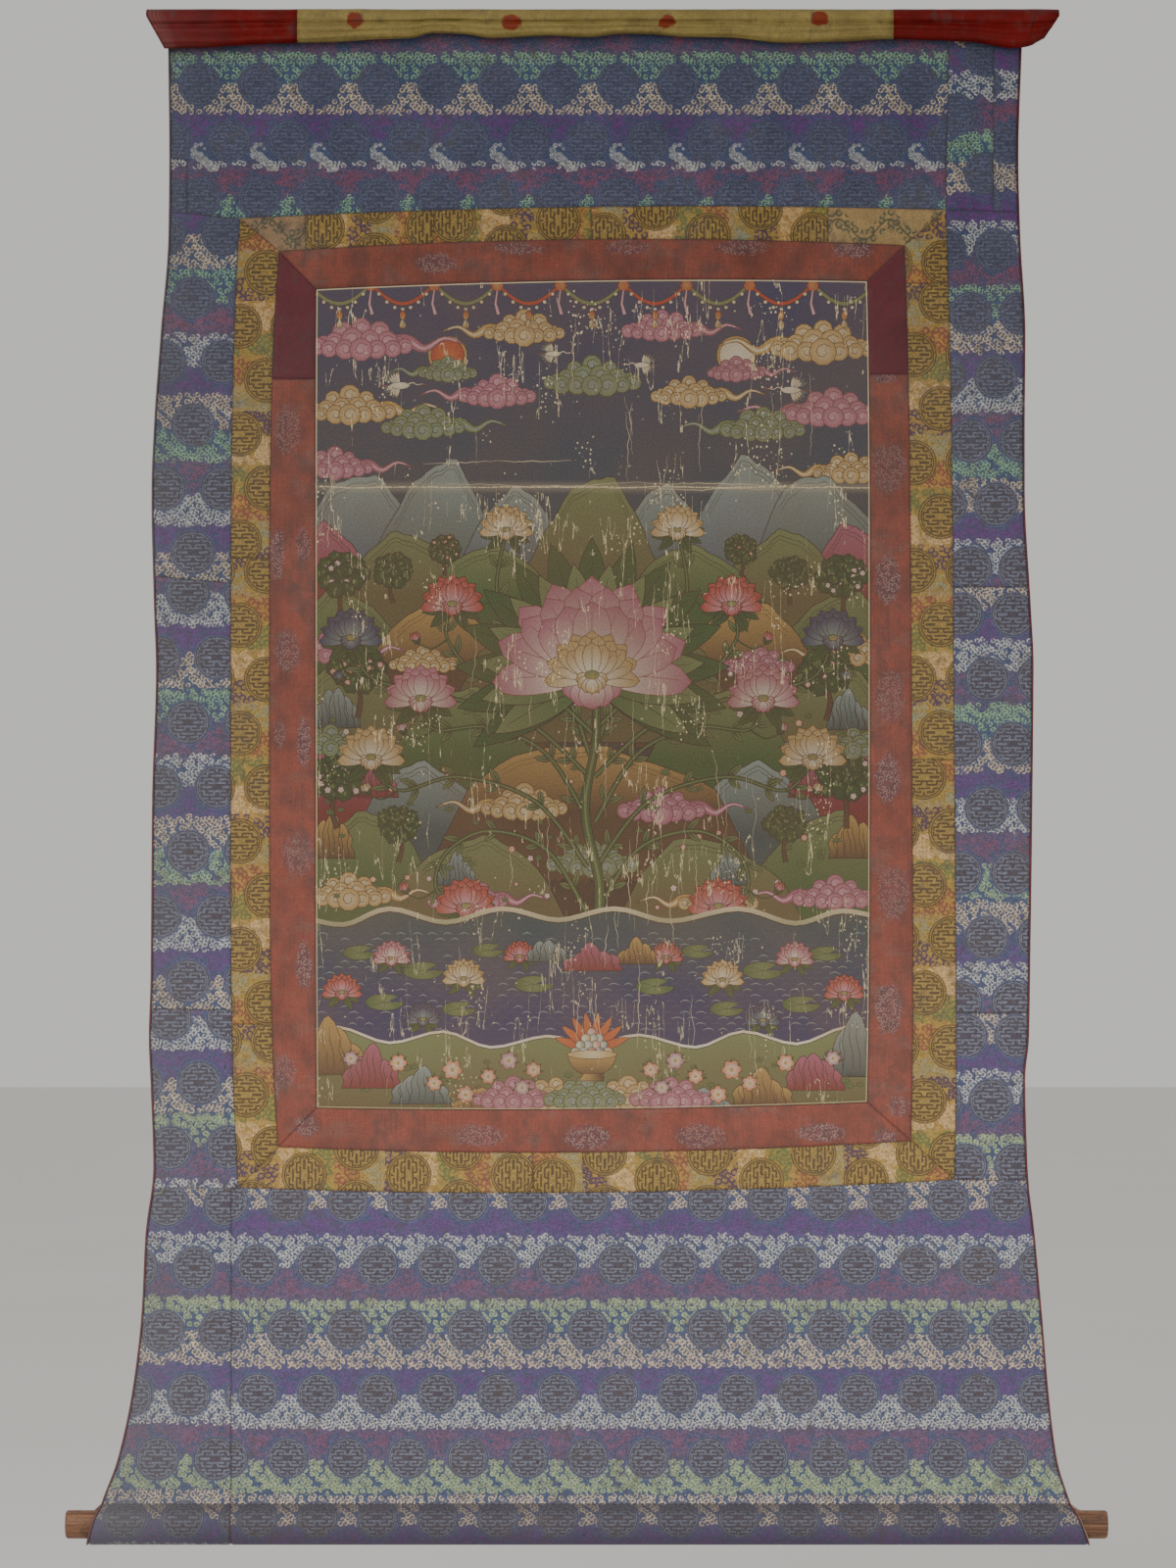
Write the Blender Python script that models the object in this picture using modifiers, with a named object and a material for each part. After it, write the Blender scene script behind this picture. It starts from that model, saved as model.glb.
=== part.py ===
"""A thangka scroll painting, hung from its top edge.

A painted canvas sits in a mitred red silk border and a mitred yellow brocade border. Both are set in a mount
pieced from blue brocade, whose bottom hem holds a wooden roller. A thin silk veil is rolled up over the top edge.

Metres, +Z up. The cloth hangs in the X-Z plane, its painted face looks along -Y, and the origin is the middle of
the cloth's top edge. Every cloth piece is laid out flat first, by how far across it lies (X) and by how far down
the cloth it runs, and is then hung: bent over the cloth's buckles and round the roller.
"""

import math
from collections import namedtuple

import bmesh
import bpy
from mathutils import Matrix, Vector

MM = 0.001

# Cloth.
CLOTH_THICKNESS = 2.0 * MM
CANVAS_THICKNESS = 1.6 * MM
SEAM_GAP = 0.36 * MM
BINDING_WIDTH = 1.7 * MM
STEP_WIDTH = 1.0 * MM           # a seam that steps sideways does so within this run
COLUMN_SPACING = 31.0 * MM
ROW_SPACING = 27.0 * MM
ROW_CLEARANCE = 8.0 * MM        # a shared row nearer than this to a piece's own row is left out

# Roller and the hem round it.
ROLLER_RADIUS = 12.5 * MM
ROLLER_LEFT = -467.0 * MM
ROLLER_RIGHT = 457.5 * MM
ROLLER_RUN = 1337.6 * MM        # height of the roller's axis below the top edge
ROLLER_ROUNDING = 2.6 * MM
ROLLER_SIDES = 28
STITCH_RUN = 1319.8 * MM        # where the hem's turned-in edge is stitched to the panel
HEM_RADIUS = ROLLER_RADIUS + 0.5 * MM + CLOTH_THICKNESS / 2
HEM_SAG = 3.0 * MM              # slack under the roller
HEM_TURN_IN = 12.0 * MM
HEM_STEP = math.radians(15.0)

# Seams, as distances across from the middle and down from the top edge.
CRIMSON_LEFT_END = 321.0 * MM
CRIMSON_RIGHT_END = 316.7 * MM
YELLOW_TOP_SEAMS = [-254.0 * MM, -140.5 * MM, -0.9 * MM, 209.7 * MM]    # the outer two are the patches' inner ends
YELLOW_BOTTOM_SEAM = -52.2 * MM
YELLOW_LEFT_SEAMS = [480.2 * MM, 893.5 * MM]
YELLOW_RIGHT_SEAMS = [235.8 * MM, 658.6 * MM]
TOP_PATCH_SEAM = -359.3 * MM
TOP_PATCH_START = 125.3 * MM
OUTER_LENGTH_SEAM = 356.5 * MM
BOTTOM_SEAM_ACROSS = -320.4 * MM
SIDE_TOP_LEFT = 172.5 * MM
SIDE_TOP_RIGHT = 172.8 * MM
SIDE_BOTTOM_RIGHT = 1031.8 * MM

Point = namedtuple("Point", "across run")
Border = namedtuple("Border", "left_top right_top right_bottom left_bottom top_bow bottom_bow left_bow right_bow")
PAINTING = Border(
    Point(-245.0, 240.8), Point(244.5, 233.7), Point(244.5, 963.0), Point(-244.5, 967.9),
    top_bow=-4.3, bottom_bow=3.7, left_bow=-0.9, right_bow=2.6)
RED = Border(
    Point(-277.8, 207.5), Point(277.4, 202.2), Point(283.2, 997.2), Point(-278.4, 1002.5),
    top_bow=-8.0, bottom_bow=7.4, left_bow=-8.1, right_bow=3.5)
YELLOW = Border(
    Point(-312.3, 178.4), Point(314.1, 170.5), Point(321.7, 1031.4), Point(-313.7, 1038.5),
    top_bow=-6.5, bottom_bow=7.8, left_bow=-7.6, right_bow=3.5)
LEVEL_BOW_POWER = 2
UPRIGHT_BOW_POWER = 4

# The mount's outer edges in millimetres: they draw in beside the painting and flare towards the roller.
Edge = namedtuple("Edge", "run left right")
OUTLINE = [
    Edge(0.0, -376.4, 382.0),
    Edge(123.0, -375.2, 378.6),
    Edge(193.0, -376.0, 380.2),
    Edge(280.0, -382.8, 384.5),
    Edge(367.0, -388.8, 383.7),
    Edge(419.0, -390.6, 383.8),
    Edge(524.0, -388.2, 389.6),
    Edge(576.0, -386.6, 392.2),
    Edge(698.0, -390.4, 391.4),
    Edge(854.0, -391.5, 388.9),
    Edge(906.0, -393.0, 387.6),
    Edge(942.0, -391.6, 384.0),
    Edge(1020.0, -389.2, 386.3),
    Edge(1080.0, -396.4, 393.0),
    Edge(1150.0, -400.2, 399.3),
    Edge(1220.0, -408.4, 405.4),
    Edge(1280.6, -421.5, 413.3),
    Edge(1319.8, -435.9, 425.4),
    Edge(1368.0, -448.8, 442.0),
    Edge(1440.0, -448.2, 441.6),
]

# Soft buckles of the hanging cloth in millimetres: a negative rise comes forward.
Buckle = namedtuple("Buckle", "across run width height rise")
BUCKLES = [
    Buckle(-60.0, 470.0, 210.0, 150.0, -4.5),
    Buckle(130.0, 800.0, 230.0, 170.0, 3.5),
    Buckle(-388.0, 500.0, 70.0, 150.0, -8.0),
    Buckle(-392.0, 900.0, 60.0, 170.0, -6.0),
    Buckle(388.0, 380.0, 60.0, 130.0, -7.0),
    Buckle(390.0, 690.0, 60.0, 110.0, 4.0),
    Buckle(388.0, 960.0, 65.0, 90.0, -9.0),
    Buckle(-360.0, 1150.0, 90.0, 90.0, 5.0),
    Buckle(-170.0, 1165.0, 110.0, 90.0, -4.0),
    Buckle(60.0, 1150.0, 120.0, 90.0, 4.0),
    Buckle(340.0, 1160.0, 100.0, 90.0, -6.0),
    Buckle(-300.0, 125.0, 80.0, 60.0, -3.0),
    Buckle(250.0, 120.0, 100.0, 60.0, 2.5),
]
FLAT_AT_TOP = 34.0 * MM         # the cloth is straight where it hangs and where it meets the roller
FLAT_AT_STITCH = 1288.0 * MM
EASE_RUN = 110.0 * MM

# The veil: its lowest edge below the top edge, in millimetres.
Hang = namedtuple("Hang", "across low")
VEIL_HANGS = [
    Hang(-395.0, 28.2),
    Hang(-345.0, 27.6),
    Hang(-290.0, 24.4),
    Hang(-235.0, 22.8),
    Hang(-186.0, 19.8),
    Hang(-160.0, 19.4),
    Hang(-142.0, 14.6),
    Hang(-112.0, 15.7),
    Hang(-90.0, 19.2),
    Hang(-38.0, 16.6),
    Hang(-4.0, 18.2),
    Hang(24.0, 15.2),
    Hang(54.0, 15.8),
    Hang(84.0, 18.3),
    Hang(118.0, 18.4),
    Hang(172.0, 23.4),
    Hang(214.0, 22.2),
    Hang(267.0, 20.2),
    Hang(336.0, 22.6),
    Hang(374.0, 28.3),
    Hang(396.0, 26.4),
    Hang(414.0, 19.0),
]
VEIL_LEFT = -395.0 * MM
VEIL_RIGHT = 414.0 * MM
VEIL_LEFT_SEAM = -261.0 * MM
VEIL_RIGHT_SEAM = 267.1 * MM
VEIL_COLUMN_SPACING = 21.0 * MM
# Round the rolled-up veil in millimetres, from its inner edge behind the cloth, out over the top and down the front,
# then up again between the veil and the cloth. Hang is the share of the local hang, and fold how far its folds show.
Round = namedtuple("Round", "depth rise hang fold")
VEIL_SECTION = [
    Round(1.7, 0.0, 0.45, 0.0),
    Round(4.2, 0.0, 0.52, 0.0),
    Round(7.2, 0.0, 0.36, 0.3),
    Round(8.4, 1.0, 0.05, 0.6),
    Round(6.2, 5.0, 0.0, 0.6),
    Round(1.0, 7.0, 0.0, 0.3),
    Round(-5.5, 6.6, 0.0, 0.3),
    Round(-11.0, 3.6, 0.0, 0.7),
    Round(-13.4, 0.0, 0.12, 1.0),
    Round(-12.6, 0.0, 0.30, -0.9),
    Round(-15.2, 0.0, 0.48, 1.0),
    Round(-14.0, 0.0, 0.68, 0.5),
    Round(-14.6, 0.0, 0.84, -0.6),
    Round(-10.4, 0.0, 0.98, 0.3),
    Round(-5.2, 0.0, 1.0, 0.0),
    Round(-1.9, 0.0, 0.90, 0.0),
    Round(-1.5, 0.0, 0.45, 0.0),
    Round(-1.5, 0.5, 0.0, 0.0),
    Round(1.5, 0.5, 0.0, 0.0),
]
VEIL_FOLD_DEPTH = 1.5
VEIL_FOLD_WAVES = [(0.031, 0.4), (0.083, 2.1)]      # waves per millimetre, and phase

Colour = namedtuple("Colour", "rgb roughness")
COLOURS = {
    "painted_canvas": Colour((0.11, 0.12, 0.11), 0.85),
    "red_silk": Colour((0.26, 0.055, 0.035), 0.75),
    "crimson_silk": Colour((0.12, 0.018, 0.022), 0.75),
    "yellow_brocade": Colour((0.42, 0.26, 0.07), 0.65),
    "beige_brocade": Colour((0.45, 0.31, 0.15), 0.65),
    "blue_brocade": Colour((0.10, 0.10, 0.16), 0.65),
    "binding_silk": Colour((0.18, 0.02, 0.03), 0.7),
    "roller_wood": Colour((0.42, 0.22, 0.11), 0.55),
    "veil_red": Colour((0.24, 0.018, 0.012), 0.5),
    "veil_yellow": Colour((0.36, 0.28, 0.09), 0.5),
}


class SmoothLine:
    """A smooth line through pairs of place and value that never swings past its own values."""

    def __init__(self, pairs):
        self.places = [place for place, _ in pairs]
        self.values = [value for _, value in pairs]
        steps = [
            (after - before) / (end - start)
            for start, end, before, after in zip(self.places, self.places[1:], self.values, self.values[1:])]
        self.slopes = [0.0] + [self.mean_slope(one, two) for one, two in zip(steps, steps[1:])] + [steps[-1]]

    @staticmethod
    def mean_slope(one, two):
        return 2.0 * one * two / (one + two) if one * two > 0.0 else 0.0

    def __call__(self, place):
        place = min(max(place, self.places[0]), self.places[-1])
        last = max(index for index, start in enumerate(self.places[:-1]) if start <= place)
        width = self.places[last + 1] - self.places[last]
        share = (place - self.places[last]) / width
        rise = self.values[last + 1] - self.values[last]
        ease = share * share * (3.0 - 2.0 * share)
        leave = share * (1.0 - share) ** 2 * width * self.slopes[last]
        arrive = share * share * (share - 1.0) * width * self.slopes[last + 1]
        return self.values[last] + rise * ease + leave + arrive


def smooth_step(low, high, value):
    """Rise smoothly from 0 at low to 1 at high."""
    share = min(max((value - low) / (high - low), 0.0), 1.0)
    return share * share * (3.0 - 2.0 * share)


def evenly(start, end, spacing):
    """List places from start to end, evenly spread and at most about one spacing apart."""
    count = max(1, round((end - start) / spacing))
    return [start + (end - start) * index / count for index in range(count + 1)]


# Seams and edges.

def bowed_line(start, end, bow, power, along, value):
    """Give the seam between two corners as a function: straight, but for its bow in the middle."""
    first = getattr(start, along) * MM
    last = getattr(end, along) * MM
    begin = getattr(start, value) * MM
    finish = getattr(end, value) * MM

    def seam(place):
        share = (place - first) / (last - first)
        return begin + (finish - begin) * share + bow * MM * (1.0 - abs(2.0 * share - 1.0) ** power)
    return seam


def top_edge(border):
    return bowed_line(border.left_top, border.right_top, border.top_bow, LEVEL_BOW_POWER, "across", "run")


def bottom_edge(border):
    return bowed_line(border.left_bottom, border.right_bottom, border.bottom_bow, LEVEL_BOW_POWER, "across", "run")


def left_edge(border):
    return bowed_line(border.left_top, border.left_bottom, border.left_bow, UPRIGHT_BOW_POWER, "run", "across")


def right_edge(border):
    return bowed_line(border.right_top, border.right_bottom, border.right_bow, UPRIGHT_BOW_POWER, "run", "across")


def straight(start, end, along, value):
    """Give the straight seam between two corners, such as a mitre, as a function."""
    return bowed_line(start, end, 0.0, LEVEL_BOW_POWER, along, value)


def fixed(place):
    """Give a seam that stays at one place as a function."""
    return lambda _: place


outline_left = SmoothLine([(edge.run * MM, edge.left * MM) for edge in OUTLINE])
outline_right = SmoothLine([(edge.run * MM, edge.right * MM) for edge in OUTLINE])


def mount_left(run):
    """The mount's left edge inside its binding."""
    return outline_left(run) + BINDING_WIDTH


def mount_right(run):
    return outline_right(run) - BINDING_WIDTH


def upper_seam(across):
    """The seam under the top panel: level at the sides, and along the yellow border between them."""
    left = YELLOW.left_top.across * MM
    right = YELLOW.right_top.across * MM
    if across < left:
        share = (across - outline_left(SIDE_TOP_LEFT)) / (left - outline_left(SIDE_TOP_LEFT))
        return SIDE_TOP_LEFT + (YELLOW.left_top.run * MM - SIDE_TOP_LEFT) * share
    if across > right:
        share = (across - right) / (outline_right(SIDE_TOP_RIGHT) - right)
        return YELLOW.right_top.run * MM + (SIDE_TOP_RIGHT - YELLOW.right_top.run * MM) * share
    return top_edge(YELLOW)(across)


def lower_seam(across):
    """The seam over the bottom panel: along the yellow border, and level at the right side."""
    left = YELLOW.left_bottom.across * MM
    right = YELLOW.right_bottom.across * MM
    if across < left:
        share = (left - across) / (left - BOTTOM_SEAM_ACROSS)
        return YELLOW.left_bottom.run * MM + STEP_WIDTH * min(share, 1.0)
    if across > right:
        return YELLOW.right_bottom.run * MM + (SIDE_BOTTOM_RIGHT - YELLOW.right_bottom.run * MM) * (
            (across - right) / (mount_right(SIDE_BOTTOM_RIGHT) - right))
    return bottom_edge(YELLOW)(across)


def top_panel_left(run):
    """The top panel's left edge, which steps in over the small patch."""
    step = smooth_step(TOP_PATCH_START, TOP_PATCH_START + STEP_WIDTH, run)
    return mount_left(run) * (1.0 - step) + TOP_PATCH_SEAM * step


def top_panel_right(run):
    """The seam right of the top panel, which leans in by 3 mm on its way down to the yellow border."""
    top = YELLOW.right_top
    return straight(Point(top.across + 3.2, 0.0), top, "run", "across")(run)


def side_seam_left(first_run, last_run):
    """A level seam across the left strip, a little lower at its inner end."""
    outer = outline_left(first_run)
    inner = left_edge(YELLOW)(last_run)

    def seam(across):
        return first_run + (last_run - first_run) * (across - outer) / (inner - outer)
    return seam


def left_lower_right(run):
    """The inner edge of the lowest left length: the yellow border, then a step back to the bottom panel's seam."""
    corner = YELLOW.left_bottom.run * MM
    if run <= corner:
        return left_edge(YELLOW)(run)
    share = min((run - corner) / STEP_WIDTH, 1.0)
    return YELLOW.left_bottom.across * MM * (1.0 - share) + BOTTOM_SEAM_ACROSS * share


# The hung shape.

def hem_path():
    """Trace the hem from the stitch line, over the roller's front, under it and up behind it, as depth and run."""
    drop = ROLLER_RUN - STITCH_RUN
    lap = CLOTH_THICKNESS + SEAM_GAP
    front_leave = math.acos(HEM_RADIUS / drop)
    back_leave = math.atan2(lap, drop) + math.acos(HEM_RADIUS / math.hypot(lap, drop))
    points = [(0.0, STITCH_RUN)]
    for angle in evenly(front_leave, 2.0 * math.pi - back_leave, HEM_STEP):
        low = max(-math.cos(angle), 0.0) * HEM_SAG
        points.append((-HEM_RADIUS * math.sin(angle), ROLLER_RUN - HEM_RADIUS * math.cos(angle) + low))
    points.append((lap, STITCH_RUN))
    points.append((lap, STITCH_RUN - HEM_TURN_IN))
    return points


def running_lengths(points, start):
    """Give each point's run along the cloth, from start at the first one."""
    runs = [start]
    for before, after in zip(points, points[1:]):
        runs.append(runs[-1] + math.dist(before, after))
    return runs


HEM_PATH = hem_path()
HEM_RUNS = running_lengths(HEM_PATH, STITCH_RUN)
CLOTH_END = HEM_RUNS[-1]
CLOTH_ROWS = evenly(0.0, STITCH_RUN, ROW_SPACING) + HEM_RUNS[1:]


def rows_between(first, last, own_rows):
    """List a piece's rows of points: its first and last, its own, and the rows that all pieces share."""
    kept = [first, *own_rows, last]
    shared = [
        row for row in CLOTH_ROWS
        if first < row < last and min(abs(row - other) for other in kept) > ROW_CLEARANCE]
    return sorted(kept + shared)


def buckle_depth(across, run):
    """How far behind the hanging plane the cloth lies."""
    depth = sum(
        buckle.rise * MM * math.exp(
            -((across / MM - buckle.across) / buckle.width) ** 2 - ((run / MM - buckle.run) / buckle.height) ** 2)
        for buckle in BUCKLES)
    below_top = smooth_step(FLAT_AT_TOP, FLAT_AT_TOP + EASE_RUN, run)
    above_stitch = 1.0 - smooth_step(FLAT_AT_STITCH - EASE_RUN, FLAT_AT_STITCH, run)
    return depth * below_top * above_stitch


def hung(across, run):
    """Hang one flat place of the cloth."""
    if run <= STITCH_RUN:
        return Vector((across, buckle_depth(across, run), -run))
    last = max(index for index, start in enumerate(HEM_RUNS[:-1]) if start <= run)
    share = (run - HEM_RUNS[last]) / (HEM_RUNS[last + 1] - HEM_RUNS[last])
    (depth, down), (next_depth, next_down) = HEM_PATH[last], HEM_PATH[last + 1]
    return Vector((across, depth + (next_depth - depth) * share, -down - (next_down - down) * share))


# Pieces.

def clear_scene():
    for old in list(bpy.data.objects):
        bpy.data.objects.remove(old, do_unlink=True)


def add_object(name, mesh, collection, colour):
    """Put a mesh in the collection under its name, with a material of its own."""
    made = bpy.data.objects.new(name, mesh)
    collection.objects.link(made)
    material = bpy.data.materials.new(name)
    material.use_nodes = True
    shader = material.node_tree.nodes["Principled BSDF"]
    shader.inputs["Base Color"].default_value = (*COLOURS[colour].rgb, 1.0)
    shader.inputs["Roughness"].default_value = COLOURS[colour].roughness
    mesh.materials.append(material)
    mesh.shade_smooth()
    return made


def set_in(grid, distance):
    """Draw a flat grid's rim in by a distance, so that it stands clear of the pieces sewn to it."""
    moves = {}
    for vert in grid.verts:
        rim = [edge for edge in vert.link_edges if edge.is_boundary]
        if not rim:
            continue
        inward = []
        for edge in rim:
            along = (edge.verts[1].co - edge.verts[0].co).normalized()
            side = Vector((-along.y, along.x, 0.0))
            middle = (edge.verts[0].co + edge.verts[1].co) / 2.0
            towards = edge.link_faces[0].calc_center_median() - middle
            inward.append(side if side.dot(towards) > 0.0 else -side)
        one, two = inward
        moves[vert] = (one + two) * distance / (1.0 + one.dot(two))
    for vert, move in moves.items():
        vert.co += move


def fitted_run(row, first, last, top_shift, bottom_shift):
    """Move a row between a piece's first and last run with the piece's uneven top and bottom edges.

    The edges' shifts fade out towards the piece's middle, so a row in the half away from them stays where it is.
    """
    share = (row - first) / (last - first)
    return row + top_shift * max(1.0 - 2.0 * share, 0.0) + bottom_shift * max(2.0 * share - 1.0, 0.0)


def add_cloth(collection, name, colour, left, right, top, bottom, at=0.0, own_rows=(), thickness=CLOTH_THICKNESS):
    """Cut a piece of cloth between four edges and hang it.

    At is the place across where its rows of points are set out. Own rows are the runs of steps in its side edges.
    """
    first, last = top(at), bottom(at)
    rows = rows_between(first, last, own_rows)
    middle_run = (first + last) / 2.0
    columns = max(1, round((right(middle_run) - left(middle_run)) / COLUMN_SPACING))

    def flat_place(share, row):
        across = at
        for _ in range(8):
            run = fitted_run(row, first, last, top(across) - first, bottom(across) - last)
            across = left(run) * (1.0 - share) + right(run) * share
        return Vector((across, run, 0.0))

    grid = bmesh.new()
    bmesh.ops.create_grid(grid, x_segments=columns, y_segments=len(rows) - 1, size=1.0)
    for vert in grid.verts:
        row = rows[round((1.0 - vert.co.y) / 2.0 * (len(rows) - 1))]
        vert.co = flat_place((vert.co.x + 1.0) / 2.0, row)
    set_in(grid, SEAM_GAP / 2.0)
    for vert in grid.verts:
        vert.co = hung(vert.co.x, vert.co.y)
    bmesh.ops.recalc_face_normals(grid, faces=grid.faces)
    mesh = bpy.data.meshes.new(name)
    grid.to_mesh(mesh)
    grid.free()
    made = add_object(name, mesh, collection, colour)
    sheet = made.modifiers.new("thickness", "SOLIDIFY")
    sheet.thickness = thickness
    sheet.offset = 0.0
    sheet.use_even_offset = True
    return made


def add_painting(collection):
    add_cloth(
        collection, "painting_canvas", "painted_canvas", left_edge(PAINTING), right_edge(PAINTING),
        top_edge(PAINTING), bottom_edge(PAINTING), thickness=CANVAS_THICKNESS)


def middle_of(one, two):
    """The place across halfway between two corners."""
    return (one.across + two.across) / 2.0 * MM


def mitres(outer, inner):
    """Give a border's four corner seams, each as a run for a place across and as a place across for a run."""
    corners = ["left_top", "right_top", "right_bottom", "left_bottom"]
    return {
        corner: (
            straight(getattr(outer, corner), getattr(inner, corner), "across", "run"),
            straight(getattr(outer, corner), getattr(inner, corner), "run", "across"))
        for corner in corners}


def add_red_border(collection):
    """The inner border: its side strips are pieced, with a short crimson length at the top."""
    corner = mitres(RED, PAINTING)
    left_seam = fixed(CRIMSON_LEFT_END)
    right_seam = fixed(CRIMSON_RIGHT_END)
    left = (left_edge(RED), left_edge(PAINTING))
    right = (right_edge(PAINTING), right_edge(RED))
    add_cloth(
        collection, "red_border_top", "red_silk", corner["left_top"][1], corner["right_top"][1],
        top_edge(RED), top_edge(PAINTING))
    add_cloth(
        collection, "red_border_bottom", "red_silk", corner["left_bottom"][1], corner["right_bottom"][1],
        bottom_edge(PAINTING), bottom_edge(RED))
    left_at = middle_of(RED.left_top, PAINTING.left_top)
    right_at = middle_of(PAINTING.right_top, RED.right_top)
    add_cloth(collection, "red_border_left_upper", "crimson_silk", *left, corner["left_top"][0], left_seam, left_at)
    add_cloth(collection, "red_border_left_lower", "red_silk", *left, left_seam, corner["left_bottom"][0], left_at)
    add_cloth(
        collection, "red_border_right_upper", "crimson_silk", *right, corner["right_top"][0], right_seam, right_at)
    add_cloth(
        collection, "red_border_right_lower", "red_silk", *right, right_seam, corner["right_bottom"][0], right_at)


def add_yellow_border(collection):
    """The outer border, pieced from short lengths. Its top strip has a patch of another brocade at each end."""
    corner = mitres(YELLOW, RED)
    across_top = (top_edge(YELLOW), top_edge(RED))
    top_ends = [corner["left_top"][1], *map(fixed, YELLOW_TOP_SEAMS), corner["right_top"][1]]
    top_places = ["left_patch", "left", "middle", "right", "right_patch"]
    for place, start, end in zip(top_places, top_ends, top_ends[1:]):
        colour = "beige_brocade" if place.endswith("patch") else "yellow_brocade"
        add_cloth(collection, f"yellow_border_top_{place}", colour, start, end, *across_top)

    across_bottom = (bottom_edge(RED), bottom_edge(YELLOW))
    bottom_ends = [corner["left_bottom"][1], fixed(YELLOW_BOTTOM_SEAM), corner["right_bottom"][1]]
    for place, start, end in zip(["left", "right"], bottom_ends, bottom_ends[1:]):
        add_cloth(collection, f"yellow_border_bottom_{place}", "yellow_brocade", start, end, *across_bottom)

    left = (left_edge(YELLOW), left_edge(RED))
    left_at = middle_of(YELLOW.left_top, RED.left_top)
    left_ends = [corner["left_top"][0], *map(fixed, YELLOW_LEFT_SEAMS), corner["left_bottom"][0]]
    right = (right_edge(RED), right_edge(YELLOW))
    right_at = middle_of(RED.right_top, YELLOW.right_top)
    right_ends = [corner["right_top"][0], *map(fixed, YELLOW_RIGHT_SEAMS), corner["right_bottom"][0]]
    for side, sides, ends, at in [("left", left, left_ends, left_at), ("right", right, right_ends, right_at)]:
        for place, top, bottom in zip(["upper", "middle", "lower"], ends, ends[1:]):
            add_cloth(collection, f"yellow_border_{side}_{place}", "yellow_brocade", *sides, top, bottom, at)


def add_top_brocade(collection):
    """The mount above the painting: one panel, a small patch at its left and two narrow lengths at its right."""
    blue = "blue_brocade"
    last = upper_seam(TOP_PATCH_SEAM)
    add_cloth(
        collection, "brocade_top_panel", blue, top_panel_left, top_panel_right, fixed(0.0), upper_seam,
        at=TOP_PATCH_SEAM, own_rows=[TOP_PATCH_START, TOP_PATCH_START + STEP_WIDTH])

    def patch_top(across):
        step = STEP_WIDTH * (across - mount_left(TOP_PATCH_START)) / (TOP_PATCH_SEAM - mount_left(TOP_PATCH_START))
        return fitted_run(TOP_PATCH_START + step, 0.0, last, 0.0, upper_seam(across) - last)
    add_cloth(
        collection, "brocade_top_left_patch", blue, mount_left, fixed(TOP_PATCH_SEAM), patch_top, upper_seam,
        at=TOP_PATCH_SEAM)
    add_cloth(
        collection, "brocade_top_right_inner", blue, top_panel_right, fixed(OUTER_LENGTH_SEAM), fixed(0.0), upper_seam,
        at=OUTER_LENGTH_SEAM)
    add_cloth(
        collection, "brocade_top_right_outer", blue, fixed(OUTER_LENGTH_SEAM), mount_right, fixed(0.0), upper_seam,
        at=OUTER_LENGTH_SEAM)


def add_side_brocade(collection):
    """The side strips: three lengths each, the lowest left one with its own share of the hem."""
    blue = "blue_brocade"
    left = (mount_left, left_edge(YELLOW))
    first_left = side_seam_left(495.9 * MM, 502.0 * MM)
    second_left = side_seam_left(879.6 * MM, 880.9 * MM)
    corner = YELLOW.left_bottom
    add_cloth(collection, "brocade_left_upper", blue, *left, upper_seam, first_left, at=corner.across * MM)
    add_cloth(collection, "brocade_left_middle", blue, *left, first_left, second_left, at=corner.across * MM)
    add_cloth(
        collection, "brocade_left_lower", blue, mount_left, left_lower_right, second_left, fixed(CLOTH_END),
        at=corner.across * MM, own_rows=[corner.run * MM, corner.run * MM + STEP_WIDTH])
    right = (right_edge(YELLOW), mount_right)
    right_at = OUTER_LENGTH_SEAM
    first_right = fixed(505.5 * MM)
    second_right = fixed(883.9 * MM)
    add_cloth(collection, "brocade_right_upper", blue, *right, upper_seam, first_right, at=right_at)
    add_cloth(collection, "brocade_right_middle", blue, *right, first_right, second_right, at=right_at)
    add_cloth(collection, "brocade_right_lower", blue, *right, second_right, lower_seam, at=right_at)


def add_bottom_brocade(collection):
    """The panel under the painting, with its hem round the roller."""
    add_cloth(
        collection, "brocade_bottom_panel", "blue_brocade", fixed(BOTTOM_SEAM_ACROSS), mount_right, lower_seam,
        fixed(CLOTH_END))


def add_bindings(collection):
    """The thin binding over both outer edges, down to the hem's turned-in edge."""
    ends = (fixed(0.0), fixed(CLOTH_END))
    add_cloth(collection, "edge_binding_left", "binding_silk", outline_left, mount_left, *ends)
    add_cloth(collection, "edge_binding_right", "binding_silk", mount_right, outline_right, *ends)


def add_roller(collection):
    """A plain round dowel with its ends eased."""
    rod = bmesh.new()
    bmesh.ops.create_cone(
        rod, cap_ends=True, segments=ROLLER_SIDES, radius1=ROLLER_RADIUS, radius2=ROLLER_RADIUS,
        depth=ROLLER_RIGHT - ROLLER_LEFT, matrix=Matrix.Rotation(math.pi / 2.0, 4, "Y"))
    mesh = bpy.data.meshes.new("roller")
    rod.to_mesh(mesh)
    rod.free()
    roller = add_object("roller", mesh, collection, "roller_wood")
    roller.location = ((ROLLER_LEFT + ROLLER_RIGHT) / 2.0, 0.0, -ROLLER_RUN)
    mesh.set_sharp_from_angle(angle=math.radians(40.0))
    rounding = roller.modifiers.new("eased ends", "BEVEL")
    rounding.width = ROLLER_ROUNDING
    rounding.segments = 2
    rounding.limit_method = "ANGLE"
    rounding.angle_limit = math.radians(60.0)


def veil_place(across, point, low):
    """One point of the veil's section at a place across, with its folds."""
    fold = sum(math.sin(2.0 * math.pi * waves * across / MM + phase) for waves, phase in VEIL_FOLD_WAVES)
    depth = point.depth - point.fold * VEIL_FOLD_DEPTH * (0.5 + 0.25 * fold)
    return Vector((across, depth * MM, (point.rise - point.hang * low) * MM))


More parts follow.
